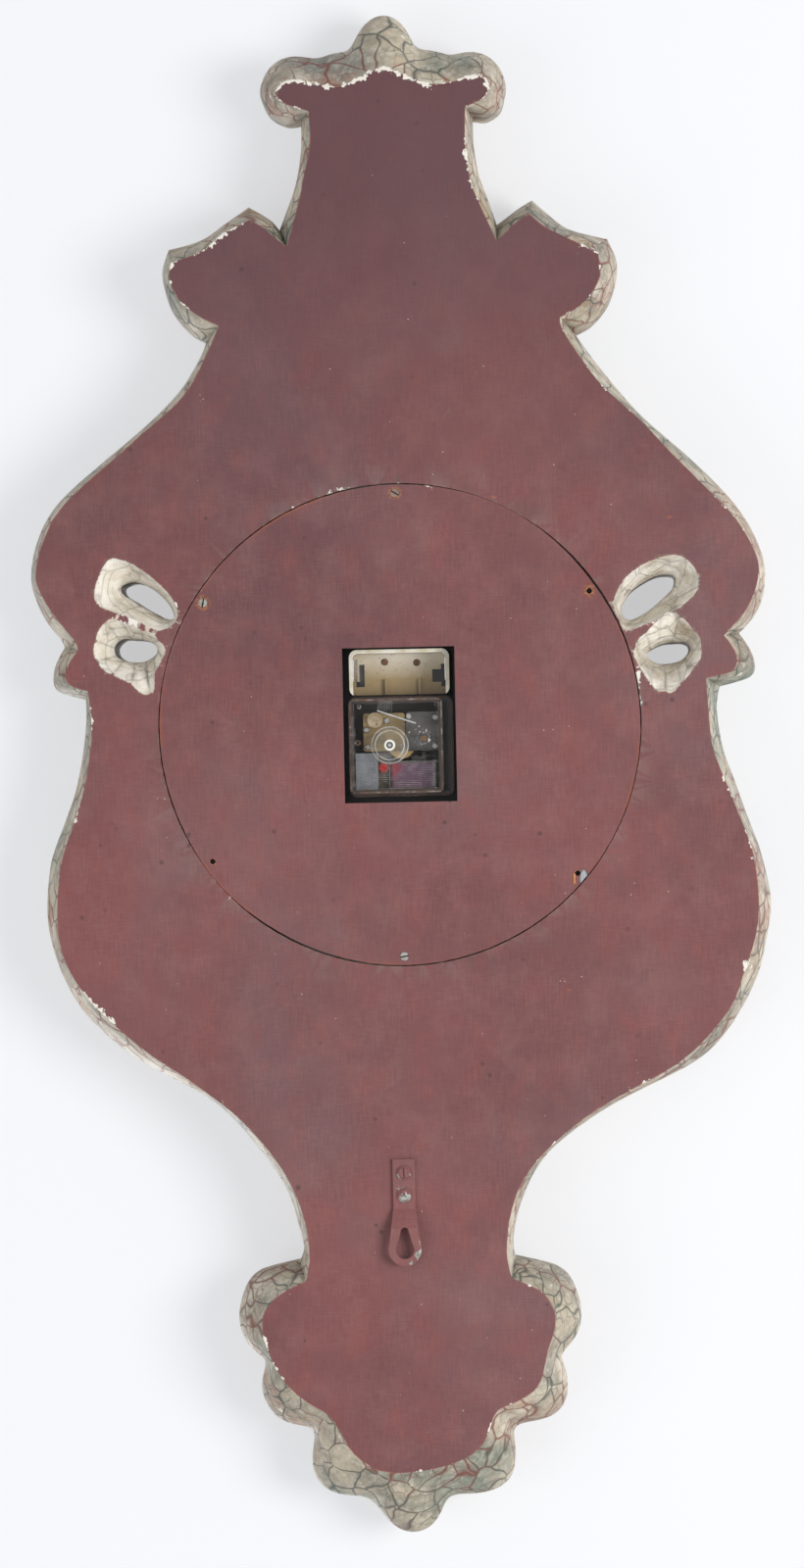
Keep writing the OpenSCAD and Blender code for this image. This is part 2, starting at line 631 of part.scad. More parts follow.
// Strokes of a numeral, one letter for each: I upright, V two slanted, X two crossed
function glyph_w(g) = g == "I" ? stroke_w + 1.6 : numeral_h * 0.62;
function glyph_x(word, i) = i == 0 ? 0 : glyph_x(word, i - 1) + glyph_w(word[i - 1]);
hour_words = ["I", "II", "III", "IIII", "V", "VI", "VII", "VIII", "IX", "X", "XI", "XII"];

module stroke(x0, x1, w) {
    h = numeral_h / 2;
    polygon([[x0 - w / 2, h], [x0 + w / 2, h], [x1 + w / 2, -h], [x1 - w / 2, -h]]);
}

module glyph(g) {
    lean = numeral_h * 0.42;
    mid = glyph_w(g) / 2;
    if (g == "I") stroke(mid, mid, stroke_w);
    if (g == "V") {
        stroke(mid - lean / 2, mid, stroke_w);
        stroke(mid + lean / 2, mid, stroke_w / 2);
    }
    if (g == "X") {
        stroke(mid - lean / 2, mid + lean / 2, stroke_w);
        stroke(mid + lean / 2, mid - lean / 2, stroke_w / 2);
    }
}

module hour_numerals() {
    color([0.12, 0.1, 0.09]) deep(dial_front, numeral_t) for (h = [1 : 12]) {
        word = hour_words[h - 1];
        rotate(-30 * h) translate([-glyph_x(word, len(word)) / 2, numeral_circle])
            for (i = [0 : len(word) - 1]) translate([glyph_x(word, i), 0]) glyph(word[i]);
    }
}

module dial_glass() {
    color([0.85, 0.9, 0.9, 0.3]) disc([0, 0], glass_d, glass_t, glass_r);
}

module bezel_ring() {
    seat = glass_d + glass_t;
    mid = (opening_r + bezel_r) / 2 - 1;
    color([0.78, 0.62, 0.3]) difference() {
        turned() polygon([[glass_r + 0.3, glass_d], [bezel_r, glass_d], [bezel_r, bezel_front - 2],
            [bezel_r - 1.5, bezel_front - 0.5], [mid + 1.5, bezel_front], [mid - 1.5, bezel_front - 0.3],
            [opening_r - 1, seat + 1.5], [opening_r - 2, seat], [glass_r + 0.3, seat]]);
        for (a = [67.5 : 90 : 337.5]) {
            disc(polar(a, bezel_screw_circle), glass_d - cut, bezel_front, bezel_screw_r);
            disc(polar(a, bezel_screw_circle), bezel_front - bezel_head_in, 4, bezel_head_r);
        }
    }
}

module bezel_screws() {
    color([0.7, 0.55, 0.28]) for (a = [67.5 : 90 : 337.5]) {
        c = polar(a, bezel_screw_circle);
        end = glass_d - bezel_screw_in;
        seat = bezel_front - bezel_head_in;
        difference() {
            turned(c) polygon([[0, end], [bezel_screw_r, end], [bezel_screw_r, seat],
                [bezel_head_r, seat], [bezel_head_r, seat + 1.2], [0, seat + 1.6]]);
            translate([c[0], 0, c[1]]) deep(seat + 0.8, 2) square([5, small_slot_w], center = true);
        }
    }
}

// Spade hand pointing to twelve: tail, stem, spade and tip
module hand_shape(length, hub, stem) {
    spade = length * 0.62;
    circle(hub);
    polygon([[-stem, -length * 0.2], [stem, -length * 0.2], [stem * 0.7, spade], [-stem * 0.7, spade]]);
    translate([0, -length * 0.2]) circle(stem * 1.9);
    for (s = [-1, 1]) translate([s * length * 0.045, spade]) circle(length * 0.062);
    polygon([[-length * 0.1, spade + 1], [length * 0.1, spade + 1], [stem * 0.5, length * 0.8],
        [0.35, length], [-0.35, length], [-stem * 0.5, length * 0.8]]);
}

module hour_hand() {
    color([0.15, 0.13, 0.12]) difference() {
        union() {
            deep(hour_hand_d, hand_t) hand_shape(hour_l, 4.4, 1.5);
            disc([0, 0], hour_hand_d - 0.6, 1.6, 3.4);
        }
        disc([0, 0], hour_hand_d - cut, 4, hour_tube_r);
    }
}

module minute_hand() {
    color([0.15, 0.13, 0.12]) difference() {
        union() {
            deep(minute_hand_d, hand_t) hand_shape(minute_l, 3.8, 1.3);
            disc([0, 0], minute_hand_d - 0.5, 1.3, 2.8);
        }
        disc([0, 0], minute_hand_d - cut, 4, minute_r);
    }
}

module hand_nut() {
    d = minute_hand_d + hand_t;
    color([0.75, 0.6, 0.3]) turned()
        polygon([[minute_r, d], [2.4, d], [2.4, d + 1.4], [1.9, d + 2], [minute_r, d + 2]]);
}

module mounting_bush() {
    color([0.78, 0.64, 0.34]) deep(plate_d, bush_l) difference() {
        circle(bush_r);
        circle(hour_tube_r + run_gap);
    }
}

module mounting_washer() {
    color([0.75, 0.72, 0.65]) deep(dial_front, washer_t) difference() {
        circle(7);
        circle(bush_r + run_gap);
    }
}

module mounting_nut() {
    color([0.78, 0.64, 0.34]) deep(dial_front + washer_t, nut_t) difference() {
        circle(6.2, $fn = 6);
        circle(bush_r);
    }
}

module movement_base() {
    color([0.13, 0.12, 0.12]) difference() {
        union() {
            deep(plate_d, dial_d - plate_d)
                rounded(-move_w / 2, holder_bottom, move_w / 2, works_top, corner_r);
            disc(intermediate_c, plate_d - 5, 5, intermediate_post_r);
            for (p = [[-25, 6], [-12, 25]]) disc(p, circuit_front, plate_d - circuit_front, 1.4);
        }
        disc([0, 0], plate_d - cut, 6, bush_r);
        for (c = [third_c, fourth_c, fifth_c, rotor_c])
            disc(c, plate_d - cut, cut + pivot_in + 0.2, arbor_r + run_gap);
        for (c = holder_screws_at) disc(c, plate_d - cut, cut + 2, holder_screw_r);
    }
}

module battery_holder() {
    top = works_bottom - 0.3;
    floor_d = plate_d - holder_floor_t;
    inner = holder_half - holder_wall;
    color([0.8, 0.74, 0.58]) difference() {
        union() {
            deep(holder_d, plate_d - holder_d) difference() {
                rounded(-holder_half, holder_bottom, holder_half, top, corner_r);
                rounded(-inner, holder_bottom + holder_wall, inner, top - holder_wall, 3);
                translate([-inner, top - corner_r]) square([2 * inner, corner_r + cut]);
            }
            deep(floor_d, holder_floor_t)
                rounded(-holder_half + 1, holder_bottom + 1, holder_half - 1, top - 1, 3);
            for (x = [-9, 11])
                deep(floor_d - rib_depth, rib_depth + 1) translate([x, top - holder_wall - 8]) square([1, 9]);
        }
        for (c = holder_screws_at) disc(c, floor_d - cut, holder_floor_t + 2 * cut, holder_screw_r);
    }
}

module battery_spring() {
    x0 = -holder_half + holder_wall;
    color([0.8, 0.8, 0.8]) translate([0, 0, contact_z]) linear_extrude(contact_h)
        polygon([[x0, -16], [x0 + 0.5, -16], [x0 + 2.6, -19.5], [x0 + 3.4, -23], [x0 + 2.6, -26.5],
            [x0 + 0.5, -30], [x0 + 0.5, -31.6], [x0, -31.6], [x0, -29.6], [x0 + 2, -26.2],
            [x0 + 2.8, -23], [x0 + 2, -19.8], [x0, -16.8]]);
}

module battery_contact() {
    x1 = holder_half - holder_wall;
    color([0.75, 0.72, 0.62]) difference() {
        translate([x1 - 0.5, -31.6, contact_z]) cube([0.5, 16, contact_h]);
        translate([x1 - 2, -26, contact_z + 4]) cube([4, 5, contact_h - 8]);
    }
}

module pan_screw(c, seat, r, head_r, length, turn) {
    top = seat - small_head_t;
    difference() {
        turned(c) polygon([[0, top], [head_r - 0.5, top], [head_r, top + 0.5], [head_r, seat],
            [r, seat], [r, seat + length], [0, seat + length]]);
        translate([c[0], 0, c[1]]) deep(top - cut, cut + 0.5) rotate(turn)
            square([2 * head_r + 2, small_slot_w], center = true);
    }
}

module holder_screws() {
    color([0.4, 0.3, 0.2]) for (i = [0, 1])
        pan_screw(holder_screws_at[i], plate_d - holder_floor_t, holder_screw_r, 2, holder_floor_t + 2,
            70 * i + 20);
}

// Stepped block of the case; drawn in by the wall it also cuts the hollow
module case_block(in) {
    r = corner_r - in * 0.8;
    past = in > 0 ? cut : 0;
    deep(case_d + in, plate_d - case_d - in + past)
        rounded(rear_left + in, works_bottom + 1 + in, rear_right - in, works_top - 1.8 - in, r);
    deep(rear_step_d + in, plate_d - rear_step_d - in + past)
        rounded(-move_w / 2 + in, works_bottom + in, move_w / 2 - in, works_top - in, r);
}

module clear_case() {
    color([0.75, 0.7, 0.62, 0.35]) difference() {
        union() {
            case_block(0);
            deep(case_d - 1.2, 2) translate(knob_c) difference() {
                circle(knob_r + 1.4);
                circle(knob_r + 0.5);
            }
        }
        case_block(case_wall);
        disc(knob_c, case_d - 2 * cut, case_wall + 4 * cut, knob_arbor_r + run_gap);
    }
}

module setting_knob() {
    color([0.85, 0.85, 0.82, 0.4]) turned(knob_c)
        polygon([[collar_r, case_d - 3], [knob_r - 2.4, case_d - 3], [knob_r, case_d - knob_gap],
            [collar_r, case_d - knob_gap]]);
}

module knob_collar() {
    color([0.92, 0.9, 0.86]) turned(knob_c)
        polygon([[knob_arbor_r, case_d - 3.6], [collar_r - 0.4, case_d - 3.6], [collar_r, case_d - 3.2],
            [collar_r, case_d - knob_gap], [knob_arbor_r, case_d - knob_gap]]);
}

module setting_arbor() {
    pitch_turn = 180 / knob_leaves;
    color([0.7, 0.7, 0.7]) {
        disc(knob_c, case_d - 3.7, knob_wheel_d + 6.5 - case_d, knob_arbor_r);
        wheel(knob_c, knob_wheel_d, stout_wheel_t + pinion_over, knob_leaves, knob_module, pitch_turn,
            core_r);
    }
}

module bridge_plate(x0, z0, x1, z1, pillars, holes) {
    deep(bridge_d, bridge_t) difference() {
        rounded(x0, z0, x1, z1, 1.5);
        for (p = pillars) translate(p) circle(bridge_screw_r);
        for (h = holes) translate(h[0]) circle(h[1] + run_gap);
    }
}

module brass_bridge() {
    color([0.75, 0.58, 0.28]) bridge_plate(-22, -19, 2.6, 3.4, brass_pillars,
        [[[0, 0], arbor_r], [knob_c, knob_arbor_r], [regulator_c, regulator_post_r]]);
}

module steel_bridge() {
    color([0.55, 0.52, 0.46]) bridge_plate(3.2, -19.5, 23, 3.4, steel_pillars,
        [[third_c, arbor_r], [fourth_c, arbor_r], [fifth_c, arbor_r], [rotor_c, arbor_r]]);
}

module pillars(places) {
    for (p = places) difference() {
        disc(p, bridge_d + bridge_t, plate_d - bridge_d - bridge_t, pillar_r);
        disc(p, bridge_d, bridge_t + bridge_screw_l, bridge_screw_r);
    }
}

module bridge_screws(places) {
    for (p = places) pan_screw(p, bridge_d, bridge_screw_r, small_head_r, bridge_screw_l, p[0] * 9);
}

module brass_pillars() {
    color([0.78, 0.64, 0.34]) pillars(brass_pillars);
}

module steel_pillars() {
    color([0.6, 0.6, 0.6]) pillars(steel_pillars);
}

module brass_bridge_screws() {
    color([0.65, 0.65, 0.65]) bridge_screws(brass_pillars);
}

module steel_bridge_screws() {
    color([0.65, 0.65, 0.65]) bridge_screws(steel_pillars);
}

module minute_arbor() {
    shoulder = bridge_d + bridge_t + 0.3;
    color([0.72, 0.7, 0.66]) {
        disc([0, 0], bridge_d - 0.1, 2, arbor_r);
        disc([0, 0], shoulder, minute_hand_d + hand_t + 1.8 - shoulder, minute_r);
        wheel([0, 0], knob_wheel_d + 0.2, stout_wheel_t, setting_teeth, knob_module, 180, core_r);
        wheel([0, 0], cannon_d, stout_wheel_t + 0.6, cannon_teeth, motion_module, intermediate_dir, core_r);
    }
}

module hour_wheel() {
    color([0.8, 0.66, 0.36]) {
        wheel([0, 0], hour_wheel_d, 1.4, hour_teeth, hour_module, intermediate_dir + 180 / hour_teeth,
            minute_r + run_gap);
        deep(hour_wheel_d + 1.2, hour_hand_d + hand_t - hour_wheel_d - 1) difference() {
            circle(hour_tube_r);
            circle(minute_r + run_gap);
        }
    }
}

module intermediate_wheel() {
    bore = intermediate_post_r + run_gap;
    color([0.8, 0.66, 0.36]) {
        wheel(intermediate_c, cannon_d + pinion_over, stout_wheel_t, intermediate_teeth, motion_module,
            intermediate_dir + 180 + 180 / intermediate_teeth, bore);
        wheel(intermediate_c, cannon_d + 1.4, 2.6, intermediate_leaves, hour_module, intermediate_dir + 180,
            bore);
    }
}

module drive_wheel() {
    color([0.8, 0.66, 0.36]) {
        wheel([0, 0], drive_wheel_d, stout_wheel_t, drive_teeth, drive_module, third_dir, minute_r + run_gap);
        deep(drive_wheel_d - 0.7, 2.4) difference() {
            circle(2.2);
            circle(minute_r + run_gap);
        }
    }
}

// Thin arbor between the steel bridge and the movement's front plate
module thin_arbor(c) {
    disc(c, bridge_d + 0.05, plate_d + pivot_in - bridge_d - 0.05, arbor_r);
}

// Pinion that meshes with the wheel at a depth
module pinion(c, wheel_d, m, turn) {
    wheel(c, wheel_d - pinion_over, train_wheel_t + 2 * pinion_over, leaves, m, turn, core_r);
}

module third_wheel() {
    color([0.88, 0.84, 0.72]) {
        thin_arbor(third_c);
        pinion(third_c, drive_wheel_d, drive_module, third_dir + 180 + 180 / leaves);
        wheel(third_c, third_wheel_d, train_wheel_t, third_teeth, fine_module, fourth_dir, core_r);
    }
}

module fourth_wheel() {
    color([0.88, 0.84, 0.72]) {
        thin_arbor(fourth_c);
        pinion(fourth_c, third_wheel_d, fine_module, fourth_dir + 180 + 180 / leaves);
        wheel(fourth_c, fourth_wheel_d, train_wheel_t, fourth_teeth, fine_module, fifth_dir, core_r);
    }
}

module fifth_wheel() {
    color([0.88, 0.84, 0.72]) {
        thin_arbor(fifth_c);
        pinion(fifth_c, fourth_wheel_d, fine_module, fifth_dir + 180 + 180 / leaves);
        wheel(fifth_c, fifth_wheel_d, train_wheel_t, fifth_teeth, rotor_module, rotor_dir, core_r);
    }
}

module rotor() {
    color([0.4, 0.4, 0.42]) {
        thin_arbor(rotor_c);
        pinion(rotor_c, fifth_wheel_d, rotor_module, rotor_dir + 180 + 180 / leaves);
        disc(rotor_c, stator_d - 0.5, stator_t + 1, magnet_r);
    }
}

// Bar of the stator between two corners
module bar(x0, z0, x1, z1) {
    translate([x0, z0]) square([x1 - x0, z1 - z0]);
}

module stator() {
    ring_r = magnet_r + 1;
    core_left = core_x - core_w / 2;
    core_right = core_x + core_w / 2;
    outer = coil_right + 1;
    top = coil_top + 0.3;
    under = coil_bottom - 0.4;
    color([0.6, 0.6, 0.62]) deep(stator_d, stator_t) difference() {
        union() {
            translate(rotor_c) circle(ring_r);
            bar(rotor_c[0] - bar_w / 2, rotor_c[1], rotor_c[0] + bar_w / 2, under);
            bar(core_left, under - bar_w, rotor_c[0] + bar_w / 2, under);
            bar(core_left, under - bar_w, core_right, top + bar_w);
            bar(core_left, top, outer + bar_w, top + bar_w);
            bar(outer, rotor_c[1] - bar_w / 2, outer + bar_w, top + bar_w);
            bar(rotor_c[0], rotor_c[1] - bar_w / 2, outer + bar_w, rotor_c[1] + bar_w / 2);
        }
        translate(rotor_c) circle(magnet_r + 0.4);
    }
}

module coil_bobbin() {
    height = coil_top - coil_bottom;
    color([0.85, 0.85, 0.8]) difference() {
        union() {
            for (z = [coil_bottom, coil_top - 1]) translate([coil_left, -plate_d, z])
                cube([coil_right - coil_left, coil_depth, 1]);
            translate([core_x - 2, -stator_d - stator_t - 1, coil_bottom]) cube([4, stator_t + 2, height]);
        }
        translate([core_x - core_w / 2, -stator_d - stator_t, coil_bottom - cut])
            cube([core_w, stator_t, height + 2 * cut]);
    }
}

module coil_winding() {
    height = coil_top - coil_bottom;
    color([0.62, 0.36, 0.4]) difference() {
        translate([0, 0, coil_bottom + 1]) linear_extrude(height - 2) translate([0, -plate_d])
            rounded(coil_left + 0.6, 0.5, coil_right - 0.6, coil_depth - 0.5, 2.5);
        translate([core_x - 2, -stator_d - stator_t - 1, coil_bottom]) cube([4, stator_t + 2, height]);
    }
}

module shield_bracket() {
    color([0.62, 0.64, 0.68]) {
        deep(shield_d, shield_t) translate([-27, 4.4]) square([13.2, 22]);
        translate([-27, -plate_d, 8]) cube([shield_t, plate_d - shield_d, 16]);
    }
}

module circuit_board() {
    color([0.45, 0.38, 0.2]) deep(circuit_d, circuit_front - circuit_d)
        translate([-26, 4.4]) square([17, 22.6]);
}

module quartz_can() {
    can_r = 1.6;
    color([0.75, 0.75, 0.75]) translate([-23, -circuit_d + can_r, 21]) rotate([0, 90, 0])
        cylinder(h = 7, r = can_r);
}

module red_trimmer() {
    top = circuit_d - 7;
    color([0.8, 0.1, 0.08]) difference() {
        union() {
            disc(trimmer_c, top, 7, 2.4);
            disc(trimmer_c, circuit_d - 4, 4, 3);
        }
        slot(trimmer_c, top, 30, 8);
    }
}

module regulator_disc() {
    color([0.86, 0.82, 0.7]) difference() {
        union() {
            disc(regulator_c, regulator_d, 1.6, regulator_r);
            disc(regulator_c, regulator_d, bridge_d + bridge_t - regulator_d, regulator_post_r);
        }
        disc(regulator_c + [0.9, 2.4], regulator_d - cut, 1.6 + 2 * cut, 0.5);
        slot(regulator_c, regulator_d, 20, 3.4);
    }
}

module index_wire() {
    a = [-13.6, -20.6];
    b = [9, -12.7];
    lean = atan2(b[1] - a[1], b[0] - a[0]);
    color([0.8, 0.8, 0.8]) translate([a[0], -bridge_d + wire_r, a[1]]) rotate([0, 90 - lean, 0])
        cylinder(h = norm(b - a), r = wire_r);
}

carved_body();
back_cover();
cover_screws();
hanger_strap();
hanger_screws();
dial_plate();
dial_screws();
hour_numerals();
dial_glass();
bezel_ring();
bezel_screws();
hour_hand();
minute_hand();
hand_nut();
mounting_bush();
mounting_washer();
mounting_nut();
movement_base();
battery_holder();
battery_spring();
battery_contact();
holder_screws();
clear_case();
setting_knob();
knob_collar();
setting_arbor();
brass_bridge();
brass_pillars();
brass_bridge_screws();
steel_bridge();
steel_pillars();
steel_bridge_screws();
minute_arbor();
hour_wheel();
intermediate_wheel();
drive_wheel();
third_wheel();
fourth_wheel();
fifth_wheel();
rotor();
stator();
coil_bobbin();
coil_winding();
shield_bracket();
circuit_board();
quartz_can();
red_trimmer();
regulator_disc();
index_wire();
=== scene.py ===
import math

import bmesh
import bpy
import numpy as np
from mathutils import Matrix, Vector, geometry, noise


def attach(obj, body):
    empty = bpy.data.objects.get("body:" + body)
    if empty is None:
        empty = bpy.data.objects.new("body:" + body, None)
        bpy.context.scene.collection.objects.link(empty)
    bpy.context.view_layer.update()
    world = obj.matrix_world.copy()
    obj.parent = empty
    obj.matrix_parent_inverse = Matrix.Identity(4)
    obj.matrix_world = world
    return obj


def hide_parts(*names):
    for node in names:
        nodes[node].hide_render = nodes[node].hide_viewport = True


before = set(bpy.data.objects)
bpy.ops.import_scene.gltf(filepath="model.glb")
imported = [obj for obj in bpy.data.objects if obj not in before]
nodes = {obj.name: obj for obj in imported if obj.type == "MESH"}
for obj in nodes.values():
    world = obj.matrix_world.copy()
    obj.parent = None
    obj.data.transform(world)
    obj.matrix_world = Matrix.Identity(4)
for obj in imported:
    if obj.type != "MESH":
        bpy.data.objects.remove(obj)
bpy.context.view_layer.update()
mm = 0.001
print("frame loaded,", len(nodes), "nodes")


# shader maths: a socket that takes part in plain expressions
class Sock:
    def __init__(self, owner, out):
        self.owner, self.out = owner, out

    def calc(self, operation, *values):
        return self.owner.node("Math", {"operation": operation}, dict(enumerate(values)))

    def __rsub__(self, v):
        return self.calc("SUBTRACT", v, self)

    def size(self):
        return self.calc("ABSOLUTE", self)

    def rise(self, low, high):  # 0 below low, 1 above high
        return ((self - low) / (high - low)).most(0).least(1)

    def near(self, value, reach):  # 1 at the value, 0 beyond the reach
        return 1 - ((self - value).size() / reach).least(1)

    def between(self, low, high):
        return self.calc("GREATER_THAN", self, low) * self.calc("LESS_THAN", self, high)

    def wave(self, period):
        turned = self * (2 * math.pi / period)
        return self.calc("SINE", turned) * 0.5 + 0.5


def twoSided(operation):
    return lambda sock, v: sock.calc(operation, sock, v)


for word, operation in (("__add__", "ADD"), ("__sub__", "SUBTRACT"), ("__mul__", "MULTIPLY"),
                        ("__truediv__", "DIVIDE"), ("__pow__", "POWER"),
                        ("least", "MINIMUM"), ("most", "MAXIMUM")):
    setattr(Sock, word, twoSided(operation))


class Finish:  # the nodes of a material, or of the world
    def __init__(self, name, owners=bpy.data.materials):
        self.owner = owners.new(name)
        self.owner.use_nodes = True
        self.tree = self.owner.node_tree
        self.tree.nodes.clear()
        self.place = self.node("TexCoord", {}, {}, "Object")

    def node(self, kind, settings, sockets, out=0):
        made = self.tree.nodes.new("ShaderNode" + kind)
        for key, value in settings.items():
            setattr(made, key, value)
        for key, value in sockets.items():
            if isinstance(value, Sock):
                self.tree.links.new(value.out, made.inputs[key])
            else:
                made.inputs[key].default_value = value
        return Sock(self, made.outputs[out])

    def mix(self, share, a, b):
        a, b = [(*c, 1) if isinstance(c, tuple) else c for c in (a, b)]
        return self.node("Mix", {"data_type": "RGBA"}, {0: share, 6: a, 7: b}, 2)

    def over(self, share, tone):  # paints a tone over the colour so far
        self.colour = self.mix(share, self.colour, tone)

    def noise(self, scale, detail=3.0, rough=0.5, at=None, out="Fac"):
        sockets = {"Vector": at or self.place, "Scale": scale, "Detail": detail, "Roughness": rough}
        return self.node("TexNoise", {}, sockets, out)

    def cells(self, scale, at=None, feature="DISTANCE_TO_EDGE"):
        sockets = {"Vector": at or self.place, "Scale": scale}
        return self.node("TexVoronoi", {"feature": feature}, sockets, "Distance")

    def scaled(self, scale, turn=(0, 0, 0), shift=(0, 0, 0)):
        sockets = {"Vector": self.place, "Scale": scale, "Rotation": turn, "Location": shift}
        return self.node("Mapping", {}, sockets)

    def moved(self, *shift):
        return self.scaled((1, 1, 1), shift=shift)

    def warped(self, scale, amount):  # coordinates pushed about by a noise
        push = self.noise(scale, 2, 0.5, out="Color")
        centred = self.node("VectorMath", {"operation": "SUBTRACT"}, {0: push, 1: (0.5, 0.5, 0.5)})
        reach = self.node("VectorMath", {"operation": "SCALE"}, {0: centred, "Scale": amount})
        return self.node("VectorMath", {"operation": "ADD"}, {0: self.place, 1: reach})

    def along(self, axis):
        return self.node("SeparateXYZ", {}, {0: self.place}, axis)

    def kept(self, name):  # a number stored on the piece's own points
        return self.node("Attribute", {"attribute_name": name}, {}, "Fac")

    def around(self, x, z):  # distance from a line along Y
        flat = self.node("CombineXYZ", {}, {0: self.along(0) - x, 1: self.along(2) - z})
        return self.node("VectorMath", {"operation": "LENGTH"}, {0: flat}, "Value")

    def done(self, colour, rough, metal, height, depth, **fixed):
        sockets = {"Base Color": (*colour, 1) if isinstance(colour, tuple) else colour}
        sockets.update({"Roughness": rough, "Metallic": metal})
        sockets["Normal"] = self.node("Bump", {}, {"Height": height, "Distance": depth})
        sockets.update(fixed)
        return self.ends(self.node("BsdfPrincipled", {}, sockets))

    def inset(self, left, right, low, high):  # distance inwards from the sides of a rectangle
        x, z = self.along(0), self.along(2)
        return (x - left).least(right - x).least(z - low).least(high - z)

    def within(self, left, right, low, high):  # 1 inside a rectangle
        return self.along(0).between(left, right) * self.along(2).between(low, high)

    def shown(self):  # 1 on rays that reach the picture straight, mirrored or through glass
        rays = [self.node("LightPath", {}, {}, f"Is {k} Ray") for k in ("Camera", "Glossy", "Transmission")]
        return (rays[0] + rays[1] + rays[2]).least(1)

    def ends(self, shader, kind="Material"):
        output = self.tree.nodes.new("ShaderNodeOutput" + kind)
        self.tree.links.new(shader.out, output.inputs["Surface"])
        return self.owner


# back cover: sizes, and angles of its screws and of its empty screw holes
cover = {
    "radius": 141 * mm, "thick": 6 * mm, "z": -11.8 * mm, "window": (66 * mm, 91 * mm), "arris": 0.35 * mm,
    "screws": (270, 213, 90), "empty": (326, 145, 41), "circle": 136 * mm,
    "shank": 1.6 * mm, "head": 2.8 * mm, "seamLimits": (-0.62, 0.7), "torn": 41,
    # angle in degrees, mm by which the seam is wider there, and over how many degrees
    "seam": ((294, -0.65, 13), (140, -0.6, 13), (326, 0.45, 14), (116, 0.5, 16), (20, -0.4, 20),
             (205, -0.4, 18)),
    "rustAndCaseBrown": {326: 3.7, 145: 2.2, 41: 2.2, 213: 4.6, 270: 4.0},
}


# paints of the wood
maroonTones = {
    "main": (0.193, 0.066, 0.064), "dark": (0.128, 0.050, 0.054), "grey": (0.158, 0.088, 0.096),
    "red": (0.235, 0.066, 0.056), "pale": (0.262, 0.122, 0.114), "spot": (0.060, 0.026, 0.026),
    "wood": (0.42, 0.13, 0.045),
}
gesso = (0.80, 0.75, 0.67)


def maroonColour(f):
    tones = maroonTones
    other = f.scaled((1, 1, 0.7), shift=(3, 0, 1))
    f.colour = f.mix(f.noise(5, 3, 0.55).rise(0.40, 0.66), tones["main"], tones["dark"])
    f.over(f.noise(8, 3, 0.6, other).rise(0.48, 0.70) * 0.7, tones["grey"])
    f.over(f.noise(38, 4, 0.65).rise(0.46, 0.74) * 0.42, tones["pale"])
    f.over(f.noise(55, 4, 0.6, other).rise(0.50, 0.72) * 0.45, tones["red"])
    weave = f.noise(900, 2, 0.6, f.scaled((1, 1, 0.10))) * 0.55
    weave = weave + f.noise(1000, 2, 0.6, f.scaled((0.12, 1, 1))) * 0.45
    patchy = f.noise(30, 3, 0.6, f.moved(1, 7, 3)).rise(0.30, 0.62) * 0.7 + 0.3
    f.over(weave.rise(0.46, 0.66) * patchy * 0.24, tones["pale"])
    f.over((1 - weave).rise(0.46, 0.66) * patchy * 0.20, tones["spot"])
    smudge = f.noise(20, 4, 0.6, f.moved(4, 2, 6)).rise(0.56, 0.72)
    f.over(smudge * 0.45, tones["dark"])
    # painted shade: the paint turns darker towards low z, where the light falls off
    lower = f.along(2).rise(-0.34, -0.12)
    f.over((1 - lower) * 0.80, (0.096, 0.043, 0.050))
    specks = f.cells(85, feature="F1").rise(0.09, 0.15)
    rare = f.noise(26, 2, 0.5, f.moved(5, 5, 5)).rise(0.52, 0.62)
    f.over((1 - specks) * rare * 0.6, tones["spot"])
    rub = f.cells(60, f.scaled((0.35, 1, 1), turn=(0, 0.15, 0)), "F1").rise(0.025, 0.055)
    rub = (1 - rub) * f.noise(14, 2, 0.5, f.moved(6, 1, 2)).rise(0.52, 0.60)
    f.over(rub * 0.5, tones["wood"])
    scratch = 1 - (f.cells(13, f.warped(9, 0.05)) / 0.006).least(1)
    torn = f.noise(22, 3, 0.6, f.moved(2, 8, 2)).rise(0.62, 0.68)
    f.over(scratch * torn * 0.30, tones["pale"])
    fine = f.cells(250, feature="F1").rise(0.05, 0.10)
    f.over((1 - fine) * f.noise(61, 2, 0.7).rise(0.60, 0.64) * 0.6, gesso)


marblePatches = [  # scale, limits and shift of the noise, share and tone
    ((13, 0.46, 0.64, (2, 2, 2)), 0.85, (0.235, 0.235, 0.205)),
    ((48, 0.50, 0.66, (5, 1, 2)), 0.75, (0.66, 0.60, 0.49)),
    ((17, 0.56, 0.70, (9, 0, 4)), 0.7, (0.34, 0.165, 0.11)),
    ((15, 0.54, 0.68, (0, 6, 8)), 0.75, (0.105, 0.165, 0.135)),
    ((21, 0.60, 0.72, (4, 4, 0)), 0.6, (0.42, 0.27, 0.10)),
    ((150, 0.44, 0.66, (1, 0, 3)), 0.42, (0.17, 0.15, 0.12)),
    ((260, 0.50, 0.70, (7, 0, 3)), 0.38, (0.74, 0.70, 0.62)),
]


